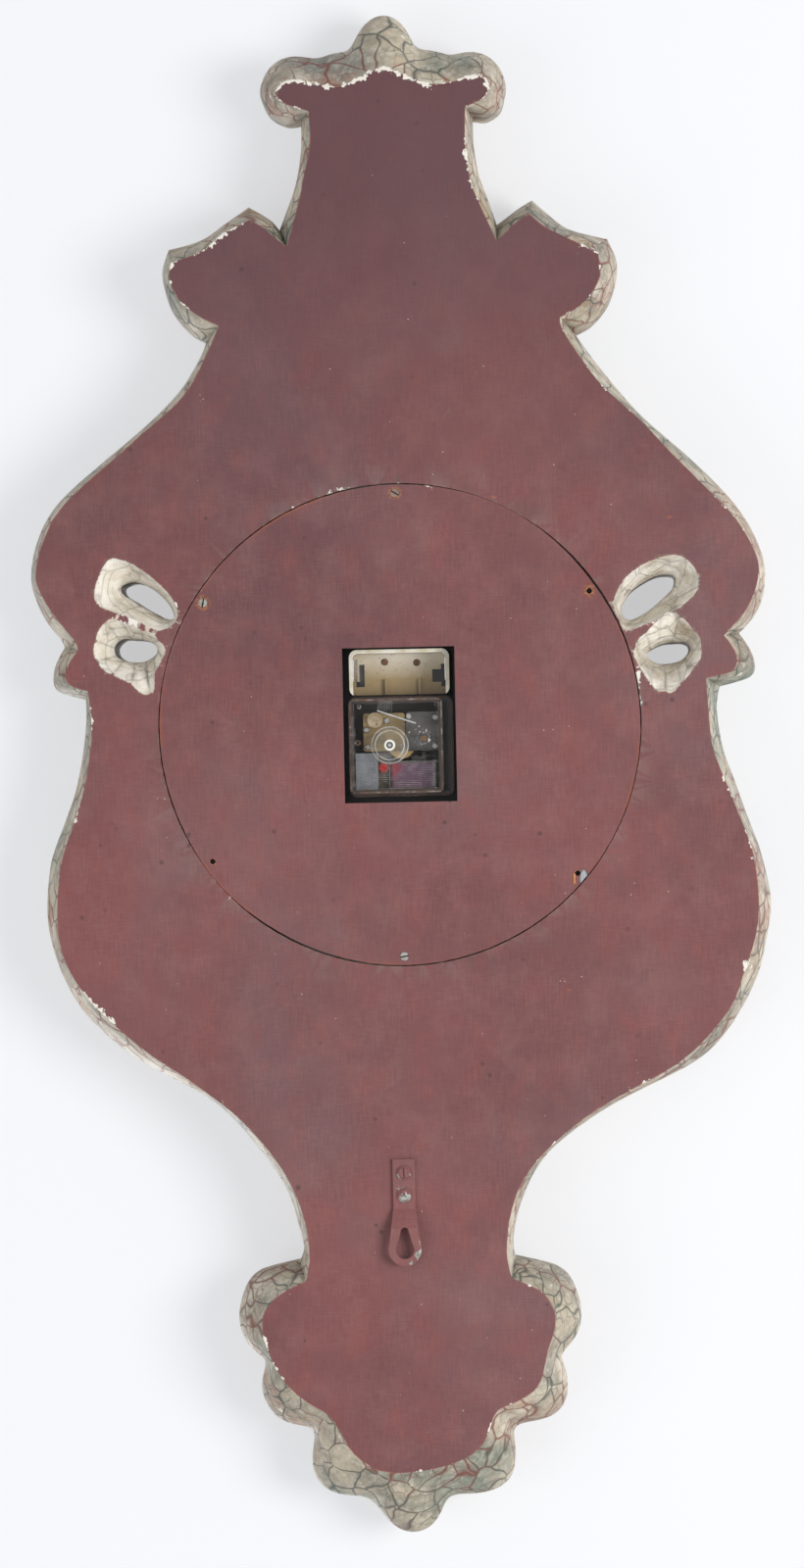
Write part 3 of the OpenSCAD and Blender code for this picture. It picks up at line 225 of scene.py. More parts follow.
def marbleColour(f, calm):  # the veins are quieter where calm is 1
    def patch(scale, low, high, shift):
        return f.noise(scale, 4, 0.62, f.moved(*shift)).rise(low, high)

    ground = f.mix(patch(24, 0.36, 0.62, (0, 0, 0)), (0.56, 0.48, 0.36), (0.36, 0.31, 0.235))
    for place, share, tone in marblePatches:
        ground = f.mix(patch(*place) * share, ground, tone)
    veinTone = f.mix(patch(10, 0.47, 0.53, (4, 7, 1)), (0.040, 0.062, 0.055), (0.17, 0.030, 0.020))
    broad = f.cells(62, f.warped(34, 0.020))
    narrow = f.cells(120, f.warped(60, 0.012))
    width = f.noise(40, 2).rise(0.30, 0.72) * 0.085 + 0.022
    vein = 1 - (broad / width).least(1)
    thin = (1 - (narrow / 0.05).least(1)) * patch(20, 0.45, 0.58, (1, 1, 6))
    return f.mix((vein * 0.9).most(thin * 0.65) * (1 - calm * 0.55), ground, veinTone), vein


def oldPaint(f, height):
    rough = f.noise(30, 2).rise(0.3, 0.8) * 0.18 + 0.55
    return f.done(f.colour, rough, 0, height, 0.0006, **{"Specular IOR Level": 0.35})


def woodPaint():
    f = Finish("carvedWoodPaint")
    down = f.kept("down")      # distance below the back edge, negative on the back face, in units of 10 mm
    inner = f.kept("inner")    # 1 on the walls inside the openings
    chalk = f.kept("chalk")    # 1 where the paint is pale and chalky, round the pierced openings
    ragged = f.noise(240, 3, 0.6) - 0.5
    marble, vein = marbleColour(f, down.rise(4.0, 4.8))
    chalky = f.mix(f.noise(70, 4, 0.6).rise(0.46, 0.70), (0.90, 0.85, 0.76), (0.68, 0.60, 0.47))
    chalky = f.mix(vein * 0.45 + f.noise(34, 3, 0.6).rise(0.60, 0.72) * 0.35, chalky, (0.30, 0.28, 0.23))
    marble = f.mix(chalk * 0.9, marble, chalky)
    maroonColour(f)
    f.over((down + ragged * 0.16).rise(-0.01, 0.03), marble)
    worn = f.noise(16, 3, 0.6, f.moved(3, 5, 9)).rise(0.46, 0.66)
    worn = worn.most((1 - f.along(2).rise(-0.385, -0.350)) * 0.92)  # the palmette is chipped all round
    edge = 1 - (down.size() / (worn * 0.40 + 0.10)).least(1)
    chips = (f.noise(190, 3, 0.65) + edge * worn * (0.36 - chalk * 0.16) + edge * 0.05).rise(0.79, 0.82)
    f.over(chips, gesso)
    blush = (1 - (down.size() / 0.09).least(1)) * down.rise(-0.2, -0.01) * (1 - chips)
    f.over(blush * f.noise(60, 2).rise(0.35, 0.6) * 0.5, (0.30, 0.10, 0.07))
    bare = f.noise(75, 4, 0.6, f.moved(8, 3, 3)).rise(0.68, 0.71) * down.rise(0.02, 0.1)
    f.over(bare * 0.8, gesso)
    # painted shade: the kept hollow number darkens the carving's hollows, the petal grooves and the bead
    # valleys, less on the chalky rims
    f.over(f.kept("hollow") * (0.6 - chalk * 0.34), (0.085, 0.08, 0.062))
    plaster = f.noise(110, 4, 0.7, f.moved(2, 3, 1))
    right = f.along(0).rise(0.05, 0.10)
    earthy = f.noise(45, 4, 0.65, f.moved(7, 1, 1)).rise(0.44, 0.66) * (right * 0.5 + 0.22)
    soiled = f.mix(plaster.rise(0.4, 0.6), (0.40, 0.30, 0.19), (0.24, 0.215, 0.18))
    f.over(chalk * earthy, soiled)
    f.over(chalk * (1 - plaster).rise(0.56, 0.68) * 0.6, (0.20, 0.17, 0.135))
    wall = f.mix(f.noise(60, 3).rise(0.4, 0.6), (0.10, 0.085, 0.075), (0.26, 0.24, 0.215))
    f.over(inner, wall)
    height = f.noise(420, 3, 0.6, f.scaled((1, 1, 0.12))) * 0.2 + chips * -0.6
    height = height - vein * down.rise(0, 0.05) * 0.5
    height = height + f.noise(150, 3, 0.6) * down.rise(0, 0.1) * (chalk * 1.6 + 0.9)
    return oldPaint(f, height)


def coverPaint(rustAt, tornAt):
    f = Finish("coverPaint")
    maroonColour(f)
    inward = cover["radius"] - f.around(0, cover["z"])
    worn = f.noise(12, 3, 0.6, f.moved(3, 5, 9)).rise(0.55, 0.68)
    chips = (f.noise(230, 3, 0.65) + (1 - (inward / 0.0025).least(1)) * worn * 0.36).rise(0.80, 0.83)
    f.over(chips, gesso)
    rub = (1 - (inward / 0.0016).least(1)) * f.noise(18, 3, 0.6, f.moved(1, 5, 3)).rise(0.5, 0.62)
    f.over(rub * 0.8, (0.28, 0.085, 0.045))
    for x, z, reach in rustAt:
        halo = 1 - (f.around(x, z) + f.noise(420, 3) * 0.0022).rise(reach, reach + 0.0016)
        stain = f.mix(f.noise(700, 2).rise(0.4, 0.6), (0.40, 0.16, 0.065), (0.12, 0.045, 0.03))
        f.over(halo * 0.8, stain)
    across, beyond = f.along(0) - tornAt[0], f.along(2) - tornAt[1] - 0.0030
    ragged = f.noise(380, 3, 0.65) * 0.0032
    torn = 1 - (((across - 0.0034) ** 2 * 3.4 + beyond ** 2 * 0.7) ** 0.5 + ragged).rise(0.0056, 0.0062)
    strands = f.noise(330, 3, 0.6, f.scaled((1, 1, 0.4))).rise(0.40, 0.62)
    f.over(torn, f.mix(strands, (0.10, 0.085, 0.09), (0.38, 0.40, 0.42)))
    side = ((across + 0.0019).size() * 4.5).most(beyond.size() * 0.84)
    splinter = 1 - (side + ragged).rise(0.0042, 0.0048)
    f.over(splinter, f.mix(f.noise(500, 2), (0.62, 0.27, 0.11), (0.40, 0.15, 0.06)))
    f.over(1 - f.along(1).rise(-0.0011, -0.0005), (0.040, 0.018, 0.012))
    height = f.noise(420, 3, 0.6, f.scaled((1, 1, 0.12))) * 0.25 - torn * 1.6 - splinter * 0.8
    return oldPaint(f, height)


print("paints ready")


# loops of the CAD board, which the carving is built on
def depthLoops(source, depth):
    bm = bmesh.new()
    bm.from_mesh(source.data)
    bmesh.ops.remove_doubles(bm, verts=bm.verts, dist=2e-6)
    bm.normal_update()
    links = {}
    for edge in bm.edges:
        level = all(abs(v.co.y + depth) < 5e-6 for v in edge.verts)
        if level and not all(abs(face.normal.y) > 0.999 for face in edge.link_faces):
            a, b = edge.verts
            links.setdefault(a, []).append(b)
            links.setdefault(b, []).append(a)
    rings, seen = [], set()
    for start in links:
        ring, v = [], start
        while v is not None and v not in seen:
            seen.add(v)
            ring.append((v.co.x, v.co.z))
            v = next((n for n in links[v] if n not in seen), None)
        if len(ring) > 5:
            rings.append(np.array(ring))
    bm.free()
    for i, ring in enumerate(rings):
        x, z = ring.T
        turned = ring if np.dot(x, np.roll(z, -1)) > np.dot(z, np.roll(x, -1)) else ring[::-1]
        rings[i] = np.roll(turned, -int(np.argmax(turned[:, 1])), axis=0)
    return sorted(rings, key=lambda r: -np.ptp(r, axis=0).sum())


def cornersOf(rings, limit=38):
    found = set()
    for ring in rings:
        ahead, behind = np.roll(ring, -1, axis=0) - ring, ring - np.roll(ring, 1, axis=0)
        turn = np.arctan2(ahead[:, 1], ahead[:, 0]) - np.arctan2(behind[:, 1], behind[:, 0])
        turn = np.abs((turn + math.pi) % (2 * math.pi) - math.pi)
        found |= set(np.nonzero(turn > math.radians(limit))[0].tolist())
    return found


def spline(a, b, c, d, t):  # Catmull-Rom, from b to c
    square, cube = 2 * a - 5 * b + 4 * c - d, 3 * b - a - 3 * c + d
    return 0.5 * (2 * b + (c - a) * t + square * t * t + cube * t ** 3)


def refine(rings, step, corners=()):  # the same smooth steps along matched loops
    count, out, marks = len(rings[0]), [[] for _ in rings], []
    for i in range(count):
        j = (i + 1) % count
        cuts = max(1, round(max(np.linalg.norm(r[j] - r[i]) for r in rings) / step))
        for k in range(cuts):
            t = k / cuts
            marks.append(i in corners and k == 0)
            for ring, made in zip(rings, out):
                b, c = ring[i], ring[j]
                a = b if i in corners else ring[i - 1]
                d = c if j in corners else ring[(j + 1) % count]
                made.append(spline(a, b, c, d, t))
    return [np.array(made) for made in out], np.array(marks)


def segmentDistance(points, line, closed=True):
    ends = np.roll(line, -1, axis=0) if closed else line[1:]
    starts = line if closed else line[:-1]
    run = ends - starts
    long = np.maximum((run ** 2).sum(1), 1e-18)
    best, share = np.full(len(points), 9.0), np.zeros(len(points))
    for s in range(0, len(points), 2000):
        gap = points[s:s + 2000, None, :] - starts[None]
        t = np.clip((gap * run).sum(2) / long, 0, 1)
        d = np.linalg.norm(gap - t[..., None] * run, axis=2)
        k = d.argmin(1)
        rows = np.arange(len(k))
        best[s:s + 2000], share[s:s + 2000] = d[rows, k], (k + t[rows, k]) / len(starts)
    return best, share


def insideOf(points, ring):
    x, z = points.T
    odd = np.zeros(len(points), bool)
    for (x1, z1), (x2, z2) in zip(ring, np.roll(ring, -1, axis=0)):
        if z1 != z2:
            cross = ((z1 > z) != (z2 > z)) & (x < (x2 - x1) * (z - z1) / (z2 - z1) + x1)
            odd ^= cross
    return odd


def circle(cx, cz, radius, count):
    a = np.arange(count) * 2 * math.pi / count
    return np.column_stack([cx + radius * np.cos(a), cz + radius * np.sin(a)])


class Shell:  # gathers the patches of one closed piece
    def __init__(self):
        self.points, self.faces, self.marks = [], [], []
        self.count = 0

    def add(self, points, faces, marks):
        self.points.append(points)
        wide = np.asarray(marks, float)
        self.marks.append(np.column_stack([wide, np.zeros((len(wide), 4 - wide.shape[1]))]))
        self.faces += [tuple(i + self.count for i in face) for face in faces]
        self.count += len(points)

    def grid(self, rings):  # closed loops with as many points each
        rows, marks = zip(*rings)
        wide = len(rows[0])
        faces = [(r * wide + i, r * wide + j, (r + 1) * wide + j, (r + 1) * wide + i)
                 for r in range(len(rows) - 1) for i in range(wide) for j in [(i + 1) % wide]]
        self.add(np.vstack(rows), faces, np.vstack(marks))

    def plane(self, outer, holes, inner, heightOf, marksOf):
        loops = [outer, *holes]
        flat = np.vstack(loops + [inner])
        edges, start = [], 0
        for loop in loops:
            n = len(loop)
            edges += [(start + i, start + (i + 1) % n) for i in range(n)]
            start += n
        made = geometry.delaunay_2d_cdt([Vector(p) for p in flat], edges, [], 0, 1e-8)
        points = np.array([tuple(v) for v in made[0]])
        tris = np.array([tuple(t) for t in made[2]])
        middle = points[tris].mean(1)
        keep = insideOf(middle, outer)
        for hole in holes:
            keep &= ~insideOf(middle, hole)
        y, marks = heightOf(points), marksOf(points)
        self.add(np.column_stack([points[:, 0], y, points[:, 1]]), [tuple(t) for t in tris[keep]], marks)

    def build(self, name, words):
        mesh = bpy.data.meshes.new(name)
        mesh.from_pydata(np.vstack(self.points).tolist(), [], self.faces)
        for k, word in enumerate(words):
            layer = mesh.attributes.new(word, "FLOAT", "POINT")
            layer.data.foreach_set("value", np.vstack(self.marks)[:, k])
        piece = bpy.data.objects.new(name, mesh)
        bpy.context.collection.objects.link(piece)
        alone(piece)
        bpy.ops.object.mode_set(mode="EDIT")
        bpy.ops.mesh.select_all(action="SELECT")
        bpy.ops.mesh.remove_doubles(threshold=3e-6)
        bpy.ops.mesh.normals_make_consistent(inside=False)
        bpy.ops.object.mode_set(mode="OBJECT")
        return piece


def alone(piece):
    bpy.ops.object.select_all(action="DESELECT")
    piece.select_set(True)
    bpy.context.view_layer.objects.active = piece


def marked(count, *values):  # the numbers kept on the points: down, inner, hollow (painted shade) and chalk
    return np.column_stack([np.broadcast_to(v, count) for v in values])


def ringAt(loop, depth, *values):
    n = len(loop)
    y = np.broadcast_to(-np.asarray(depth, float), n)
    return np.column_stack([loop[:, 0], y, loop[:, 1]]), marked(n, *values)


def dome(d, middle, half):  # a round hump, 1 at its middle and 0 beyond its half width
    return np.sqrt(np.clip(1 - ((d - middle) / half) ** 2, 0, 1))


# carved board
board = {
    "step": 2.6 * mm, "bevelRows": 11, "thick": 56 * mm, "wide": 28 * mm, "side": 44 * mm, "frontDraw": 0.8,
    "coverZ": -11.8 * mm, "recess": 141.8 * mm, "ledge": 128.2 * mm, "ledgeDepth": 6 * mm,
    "dialDepth": 38.2 * mm, "opening": 104 * mm, "glassDepth": 57 * mm, "rebate": 113 * mm, "round": 432,
    "funnel": 22 * mm, "rimStep": 1.1 * mm, "backStep": 2.4 * mm, "frontStep": 2.7 * mm, "ring": 136 * mm,
    "crest": 316 * mm, "palmette": -384 * mm, "rimSize": (20 * mm, 100 * mm), "petalsAbove": -66 * mm,
    "ringSeat": 62.5 * mm, "edgeWear": 8 * mm, "clear": 0.9 * mm,
}
rightRims = [  # rims beside the cover, in mm
    [(167, -107), (176, -98), (176, -87), (167, -78), (156, -72), (144, -67),
     (134, -64), (128, -71), (127, -82), (134, -95), (145, -103), (157, -107)],
    [(165, -72), (170, -67), (176, -59), (177, -49), (169, -37), (160, -28),
     (150, -30), (144, -39), (138, -49), (141, -58), (149, -66), (158, -74)],
]


def softened(ring, reach=5, spread=2.2):  # rounds the carved lobes of the crest and the palmette
    steps = range(-reach, reach + 1)
    share = np.array([math.exp(-(k / spread) ** 2 / 2) for k in steps])
    smooth = sum(w * np.roll(ring, k, axis=0) for w, k in zip(share / share.sum(), steps))
    z = ring[:, 1] / mm
    above, below = z - board["crest"] / mm - 2, board["palmette"] / mm - 2 - z
    soft = np.clip(np.maximum(above, below) / 8, 0, 1)[:, None]
    return ring + (smooth - ring) * soft


def rimOf(points):
    ring = np.array(points, float) * mm
    p, n, q = np.roll(ring, 1, axis=0), np.roll(ring, -1, axis=0), np.roll(ring, -2, axis=0)
    ring = np.stack([ring, (9 * (ring + n) - p - q) / 16], axis=1).reshape(-1, 2)
    gap = ring - np.array([0, board["coverZ"]])
    far = np.linalg.norm(gap, axis=1)[:, None]
    return gap / far * np.maximum(far, board["recess"] + 0.8 * mm) + np.array([0, board["coverZ"]])


def evenPoints(low, high, step):
    across, up = [np.arange(a, b, step) for a, b in zip(low, high)]
    return np.array([(x, z) for x in across for z in up])


def carvedBoard():
    cad = nodes["carved_body"]
    back = depthLoops(cad, 0)
    wide = depthLoops(cad, board["wide"])[0]
    small, large = board["rimSize"]
    deep = [r for r in depthLoops(cad, board["funnel"]) if np.ptp(r, axis=0).max() > small][:4]
    rims = [r for r in back[2:] if small < np.ptp(r, axis=0).max() < large] + [rimOf(r) for r in rightRims]
    outline = back[0]
    corners = {i for i in cornersOf([outline, wide]) if board["palmette"] < outline[i][1] < board["crest"]}
    (inner, outer), marks = refine([outline, wide], board["step"], corners)
    inner, outer = softened(inner), softened(outer)
    shell = Shell()

    # bevels: each run between two corners bulges like a petal, and dies out at its corners
    count = len(outer)
    turns = np.nonzero(marks)[0]
    bulge = np.zeros(count)
    for a, b in zip(turns, np.roll(turns, -1)):
        span = np.arange(a, b if b > a else b + count) % count
        run = np.linalg.norm(np.diff(outer[span], axis=0), axis=1).sum() if len(span) > 1 else 0
        s = np.linspace(0, 1, len(span), endpoint=False)
        peak = 0.6 if run < 0.10 else 0.38
        fade = 9 * mm / max(run, 9 * mm)
        bulge[span] = peak * np.clip(np.minimum(s, 1 - s) / fade, 0, 1) ** 0.6
    gouge = np.array([noise.noise(Vector((p[0] * 90, p[1] * 90, 0))) for p in outer])
    rings = []
    steps = board["bevelRows"]
    for k in range(steps + 1):
        t = k / steps
        u = t + bulge * (math.sin(t * math.pi / 2) - t)
        v = t + bulge * (1 - math.cos(t * math.pi / 2) - t)
        draw = (0.35 * mm) * (1 + gouge) * math.sin(math.pi * t)
        depth = board["wide"] * v
        loop = inner + (outer - inner) * u[:, None]
        aim = outer - inner
        loop = loop - aim / np.maximum(np.linalg.norm(aim, axis=1), 1e-9)[:, None] * draw[:, None]
        travelled = np.linalg.norm(np.column_stack([loop - inner, depth]), axis=1) * 100
        # painted shade kept on the points: darkest midway down the flatter runs of the bevel
        hollow = np.clip(1 - bulge * 4, 0, 1) * math.sin(math.pi * t)
        rings.append(ringAt(loop, depth, travelled, 0, hollow * 0.7))
    front = outer + (inner - outer) * board["frontDraw"]
    for depth in (33 * mm, 38 * mm, board["side"]):
        rings.append(ringAt(outer, depth, travelled + (depth - board["wide"]) * 100, 0, 0))
    drop = board["thick"] - board["side"]
    for k in range(1, 6):
        t = k / 5 * math.pi / 2
        loop = outer + (front - outer) * (1 - math.cos(t))
        rings.append(ringAt(loop, board["side"] + drop * math.sin(t), travelled + 3, 0, 0))
    shell.grid(rings)

    # pierced openings: a funnel from the back, then straight walls
    backRims, frontHoles = [], []
    for rim in rims:
        hole = min(deep, key=lambda h: np.linalg.norm(h.mean(0) - rim.mean(0)))
        if len(hole) == len(rim):
            best = min(range(len(hole)), key=lambda k: np.linalg.norm(np.roll(hole, k, axis=0) - rim))
            hole = np.roll(hole, best, axis=0)
        (wideRing, narrowRing), _ = refine([rim, hole], board["rimStep"])
        n = len(wideRing)
        petalled = rim.mean(0)[1] > board["petalsAbove"]
        turn = np.arange(n) / n * math.pi
        petals = 0.9 + 0.1 * np.sin(turn * 14) * np.sin(turn * 6)
        if petalled:
            petals = np.abs(np.sin(turn * 11)) ** 0.42
            aim = wideRing - narrowRing
            aim /= np.linalg.norm(aim, axis=1)[:, None]
            outward = np.linalg.norm(wideRing - [0, board["coverZ"]], axis=1) > board["recess"] + 3 * mm
            wideRing = wideRing + aim * ((petals - 0.55) * 1.7 * mm * outward)[:, None]
        rings = []
        for k in range(13):
            t = k / 12
            sag = (1 - petals) * 3.4 * mm * math.sin(math.pi * min(t * 1.1 + 0.06, 1))
            depth = board["funnel"] * t ** (1.7 if petalled else 1.45) + sag * (k > 0)
            inwards = t + 0.25 * math.sin(math.pi * t) * (t - 0.4)
            loop = wideRing + (narrowRing - wideRing) * inwards
            # painted shade kept on the points in the grooves between the petals
            groove = np.clip(1 - petals * 1.25, 0, 1) * (1.5 if petalled else 0.4) * min(t * 4, 1)
            rings.append(ringAt(loop, np.minimum(depth, board["funnel"]), t * 2.2 + 0.02, 0, groove, 1))
        for depth in (board["funnel"] + 0.4 * mm, 40 * mm, board["thick"]):
            rings.append(ringAt(narrowRing, depth, 2.5, 1, 0, 1))
        shell.grid(rings)
        backRims.append(wideRing)
        frontHoles.append(narrowRing)

    # flat back, with close points only along its edges so that wear can follow them
    seat = circle(0, board["coverZ"], board["recess"], board["round"])
    low, high = inner.min(0), inner.max(0)
    fine = evenPoints(low, high, board["backStep"])
    edges = [inner, *backRims]
    fine = fine[insideOf(fine, inner)]
    gap = np.min([segmentDistance(fine, e)[0] for e in edges], axis=0)
    ring = np.hypot(fine[:, 0], fine[:, 1] - board["coverZ"])
    clearOf = (gap > board["clear"]) & (ring > board["recess"] + 1.5 * mm)
    for rim in backRims:
        clearOf &= ~insideOf(fine, rim)
    col, row = np.round((fine - low) / board["backStep"]).astype(int).T
    sparse = (col % 8 == 0) & (row % 8 == 0)
    inside = fine[clearOf & ((gap < board["edgeWear"]) | sparse)]

    def backMarks(points):
        gap = np.min([segmentDistance(points, e)[0] for e in edges], axis=0)
        return marked(len(points), -np.minimum(gap, 0.01) * 100, 0, 0)

    shell.plane(inner, [seat, *backRims], inside, lambda p: np.zeros(len(p)), backMarks)

    # seat of the cover, hollow for the movement, openings for dial and glass
    n = board["round"]
    ledge = circle(0, board["coverZ"], board["ledge"], n)
    opening, rebate = circle(0, 0, board["opening"], n), circle(0, 0, board["rebate"], n)
    walls = [(seat, 0, 0.2), (seat, board["ledgeDepth"], 1), (ledge, board["ledgeDepth"], 1),
             (ledge, board["dialDepth"], 1), (opening, board["dialDepth"], 1),
             (opening, board["glassDepth"], 1), (rebate, board["glassDepth"], 1),
             (rebate, board["ringSeat"], 0)]
    shell.grid([ringAt(loop, depth, 3 if depth else 0, dark, 0) for loop, depth, dark in walls])

    # turned and beaded ring round the bezel
    angle = np.arange(n) * 2 * math.pi / n
    valley = 1 - np.abs(np.sin(angle * 24))  # between the beads
    profile = [  # radius and depth in mm, share of the beads
        (113, 62.5, 0), (114, 63, 0), (115.5, 62.6, 0), (117, 62.6, 0), (118, 64.2, 0.3), (120, 66.2, 1),
        (123, 66.9, 1), (126, 65.6, 1), (127.5, 63.6, 0.4), (128.5, 62.2, 0), (130, 61.8, 0),
        (131.5, 61.8, 0), (133.5, 60.4, 0), (135, 58.4, 0), (135.8, 57.2, 0), (136, 56, 0),
    ]
    rings = []
    for radius, depth, share in profile:
        # painted shade kept on the points in the valleys between the beads, and a little on the plain parts
        hollow = share * valley ** 2 + (share == 0) * 0.15
        sunk = (depth - 2.6 * share * valley ** 1.5) * mm
        rings.append(ringAt(circle(0, 0, radius * mm, n), sunk, 3, 0, hollow))
    shell.grid(rings)

    # carved front
    ringOut = circle(0, 0, board["ring"], n)
    low, high = front.min(0), front.max(0)
    grid = evenPoints(low, high, board["frontStep"])
    grid = grid[insideOf(grid, front)]
    keep = (segmentDistance(grid, front)[0] > 1.2 * mm) & (np.hypot(*grid.T) > board["ring"] + 1.3 * mm)
    for hole in frontHoles:
        keep &= ~insideOf(grid, hole) & (segmentDistance(grid, hole)[0] > board["clear"])
    frontEdges = front, frontHoles
    shell.plane(front, [ringOut, *frontHoles], grid[keep], lambda p: -board["thick"] - relief(p, *frontEdges),
                lambda p: marked(len(p), 3, 0, recessShade(p, *frontEdges)))
    piece = shell.build("carvedBoard", ("down", "inner", "hollow", "chalk"))
    bpy.ops.object.shade_smooth_by_angle(angle=math.radians(38))
    return piece


# carving of the front: mouldings, shell, palmette, scrolls and leaves, as heights in metres
scrolls = [  # x, z of the stem in mm, mirrored, with its widest half width and rise
    ([(18, 176), (42, 196), (60, 226), (66, 258), (58, 288), (38, 300), (26, 288), (34, 277)], 7, 6),
    ([(78, 236), (104, 214), (140, 192), (172, 168), (192, 138), (196, 108), (182, 90), (168, 98),
      (172, 110)], 8, 6),
    ([(190, 66), (182, 40), (174, 14), (172, -12), (178, -28)], 6, 5),
    ([(204, -92), (196, -122), (172, -148), (140, -172), (112, -196), (98, -222), (108, -238),
      (120, -230)], 8, 6),
    ([(20, -168), (36, -196), (48, -226), (46, -258), (32, -276), (20, -264), (28, -254)], 7, 6),
    ([(60, -268), (78, -290), (100, -296), (114, -282), (106, -268), (96, -274)], 6, 5),
]
leaves = [  # root and tip, half width and rise, mirrored
    ((100, 100), (138, 142), 17, 5), ((104, -104), (136, -140), 17, 5), ((58, 134), (84, 184), 15, 5),
    ((62, -136), (82, -186), 15, 5), ((0, 146), (0, 236), 20, 6), ((0, -146), (0, -236), 20, 6),
    ((0, 240), (0, 306), 14, 5), ((0, -244), (0, -318), 14, 5), ((146, 60), (176, 96), 12, 4),
    ((150, -110), (186, -96), 12, 4),
]
fans = [  # centre, first and last angle, ridges, root, reach, tip and rise
    ((-3, 330), 14, 166, 5, 20, 84, 102, 9), ((0, -358), 210, 330, 3, 8, 34, 46, 7),
]
volutes = [(-74, 337, 14, 8), (72, 337, 14, 8), (-55, -380, 8, 5), (53, -380, 8, 5)]  # x, z, radius, rise


def smoothLine(points, count=60):
    p = np.array(points, float) * mm
    full = np.vstack([2 * p[0] - p[1], p, 2 * p[-1] - p[-2]])
    made = []
    for s in np.linspace(0, len(p) - 1.001, count):
        i, t = int(s), s - int(s)
        made.append(spline(*full[i:i + 4], t))
    return np.array(made)


def fan(points, centre, start, end, ridges, root, reach, tip, rise):
    gap = points - np.array(centre) * mm
    radius = np.hypot(*gap.T) / mm
    sweep = (end - start) % 360
    share = (np.degrees(np.arctan2(gap[:, 1], gap[:, 0])) % 360 - start % 360) % 360 / sweep
    share = np.where(share > 1.5, share - 360 / sweep, share)
    wave = np.abs(np.sin(np.clip(share, 0, 1) * math.pi * ridges)) ** 0.8
    limit = (reach + (tip - reach) * (1 - np.abs(2 * share - 1))) * (0.9 + 0.1 * wave)
    t = (radius - root) / (limit - root)
    body = np.clip(np.minimum(t * 5, (1 - t) * 8), 0, 1) ** 0.5
    return np.where((share > 0) & (share < 1) & (t > 0) & (t < 1), body * (0.3 + 0.7 * wave) * rise, 0) * mm


def nearLine(points, line, reach):  # which points lie near it, how far off and how far along
    box = (points > line.min(0) - reach).all(1) & (points < line.max(0) + reach).all(1)
    return box, *segmentDistance(points[box], line, closed=False)


def relief(points, front, holes):
    fold = np.column_stack([np.abs(points[:, 0]), points[:, 1]])
    edge = segmentDistance(points, front)[0] / mm
    height = (4.6 * dome(edge, 7, 6) - np.exp(-((edge - 15) / 2) ** 2)) * mm  # border moulding and its groove
    for line, half, rise in scrolls:
        box, d, s = nearLine(fold, smoothLine(line), 12 * mm)
        wide = half * mm * (0.35 + 0.65 * np.sin(math.pi * np.clip(s * 0.9 + 0.05, 0, 1)))
        body = rise * mm * dome(d, 0, wide) * (1 - 0.25 * np.exp(-(d / (0.18 * wide)) ** 2))
        height[box] = np.maximum(height[box], body)
    for root, tip, half, rise in leaves:
        box, d, s = nearLine(fold, np.array([root, tip], float) * mm, 24 * mm)
        lobes = 0.72 + 0.28 * np.abs(np.cos(s * math.pi * 4.5 - d / (6 * mm)))
        wide = half * mm * np.sin(math.pi * np.clip(s, 0.001, 1)) ** 0.7 * lobes
        vein = 1 - 0.35 * np.exp(-(d / (1.2 * mm)) ** 2)
        body = rise * mm * dome(d, 0, np.maximum(wide, 1e-6)) * vein
        height[box] = np.maximum(height[box], np.where((s > 0) & (s < 1), body, 0))
    for one in fans:
        height = np.maximum(height, fan(points, *one))
    for x, z, r, rise in volutes:
        across, beyond = points[:, 0] / mm - x, points[:, 1] / mm - z
        d = np.hypot(across, beyond)
        spiral = 0.65 + 0.35 * np.cos(2 * math.pi * d / (r * 0.5) + np.arctan2(beyond, across))
        body = rise * spiral * np.clip((r - d) / 2, 0, 1) ** 0.5
        height = np.maximum(height, np.where(d < r, body, 0) * mm)
    for hole in holes:
        d = segmentDistance(points, hole)[0] / mm
        height = np.maximum(height, 4 * dome(d, 4, 4) * mm)
    centre = np.hypot(*points.T) / mm
    nearest = np.minimum(edge, np.min([segmentDistance(points, h)[0] for h in holes], axis=0) / mm)
    fade = np.clip((centre - board["ring"] / mm) / 3, 0, 1) * np.clip(nearest / 1.2, 0, 1)
    return height * fade


# painted shade on the front: the ground and grooves between the raised carving are darkened, the raised parts
# not
def recessShade(points, front, holes):
    height = relief(points, front, holes) / mm
    return np.clip(0.9 - np.abs(height + 0.2) * 0.55, 0, 1) * 0.55


boardPiece = carvedBoard()
boardPiece.data.materials.append(woodPaint())
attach(boardPiece, "case")
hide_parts("carved_body")
print("board carved,", len(boardPiece.data.polygons), "faces")


# back cover, cut with window and screw seats
def cutWith(piece, cutter):
    alone(piece)
    step = piece.modifiers.new("cut", "BOOLEAN")
    step.operation, step.solver, step.object = "DIFFERENCE", "EXACT", cutter
    bpy.ops.object.modifier_apply(modifier="cut")
    bpy.data.objects.remove(cutter)


def disc(x, z, depth, radius, thick, sides, outer=None):
    place = {"location": (x, -depth - thick / 2, z), "rotation": (math.pi / 2, 0, 0)}
    if outer is None:
        bpy.ops.mesh.primitive_cylinder_add(vertices=sides, radius=radius, depth=thick, **place)
    else:
        bpy.ops.mesh.primitive_cone_add(vertices=sides, radius1=outer, radius2=radius, depth=thick, **place)
    made = bpy.context.object
    bpy.ops.object.transform_apply(location=True, rotation=True, scale=True)
    return made


def screwPlace(angle):
    a = math.radians(angle)
    return cover["circle"] * math.cos(a), cover["z"] + cover["circle"] * math.sin(a)


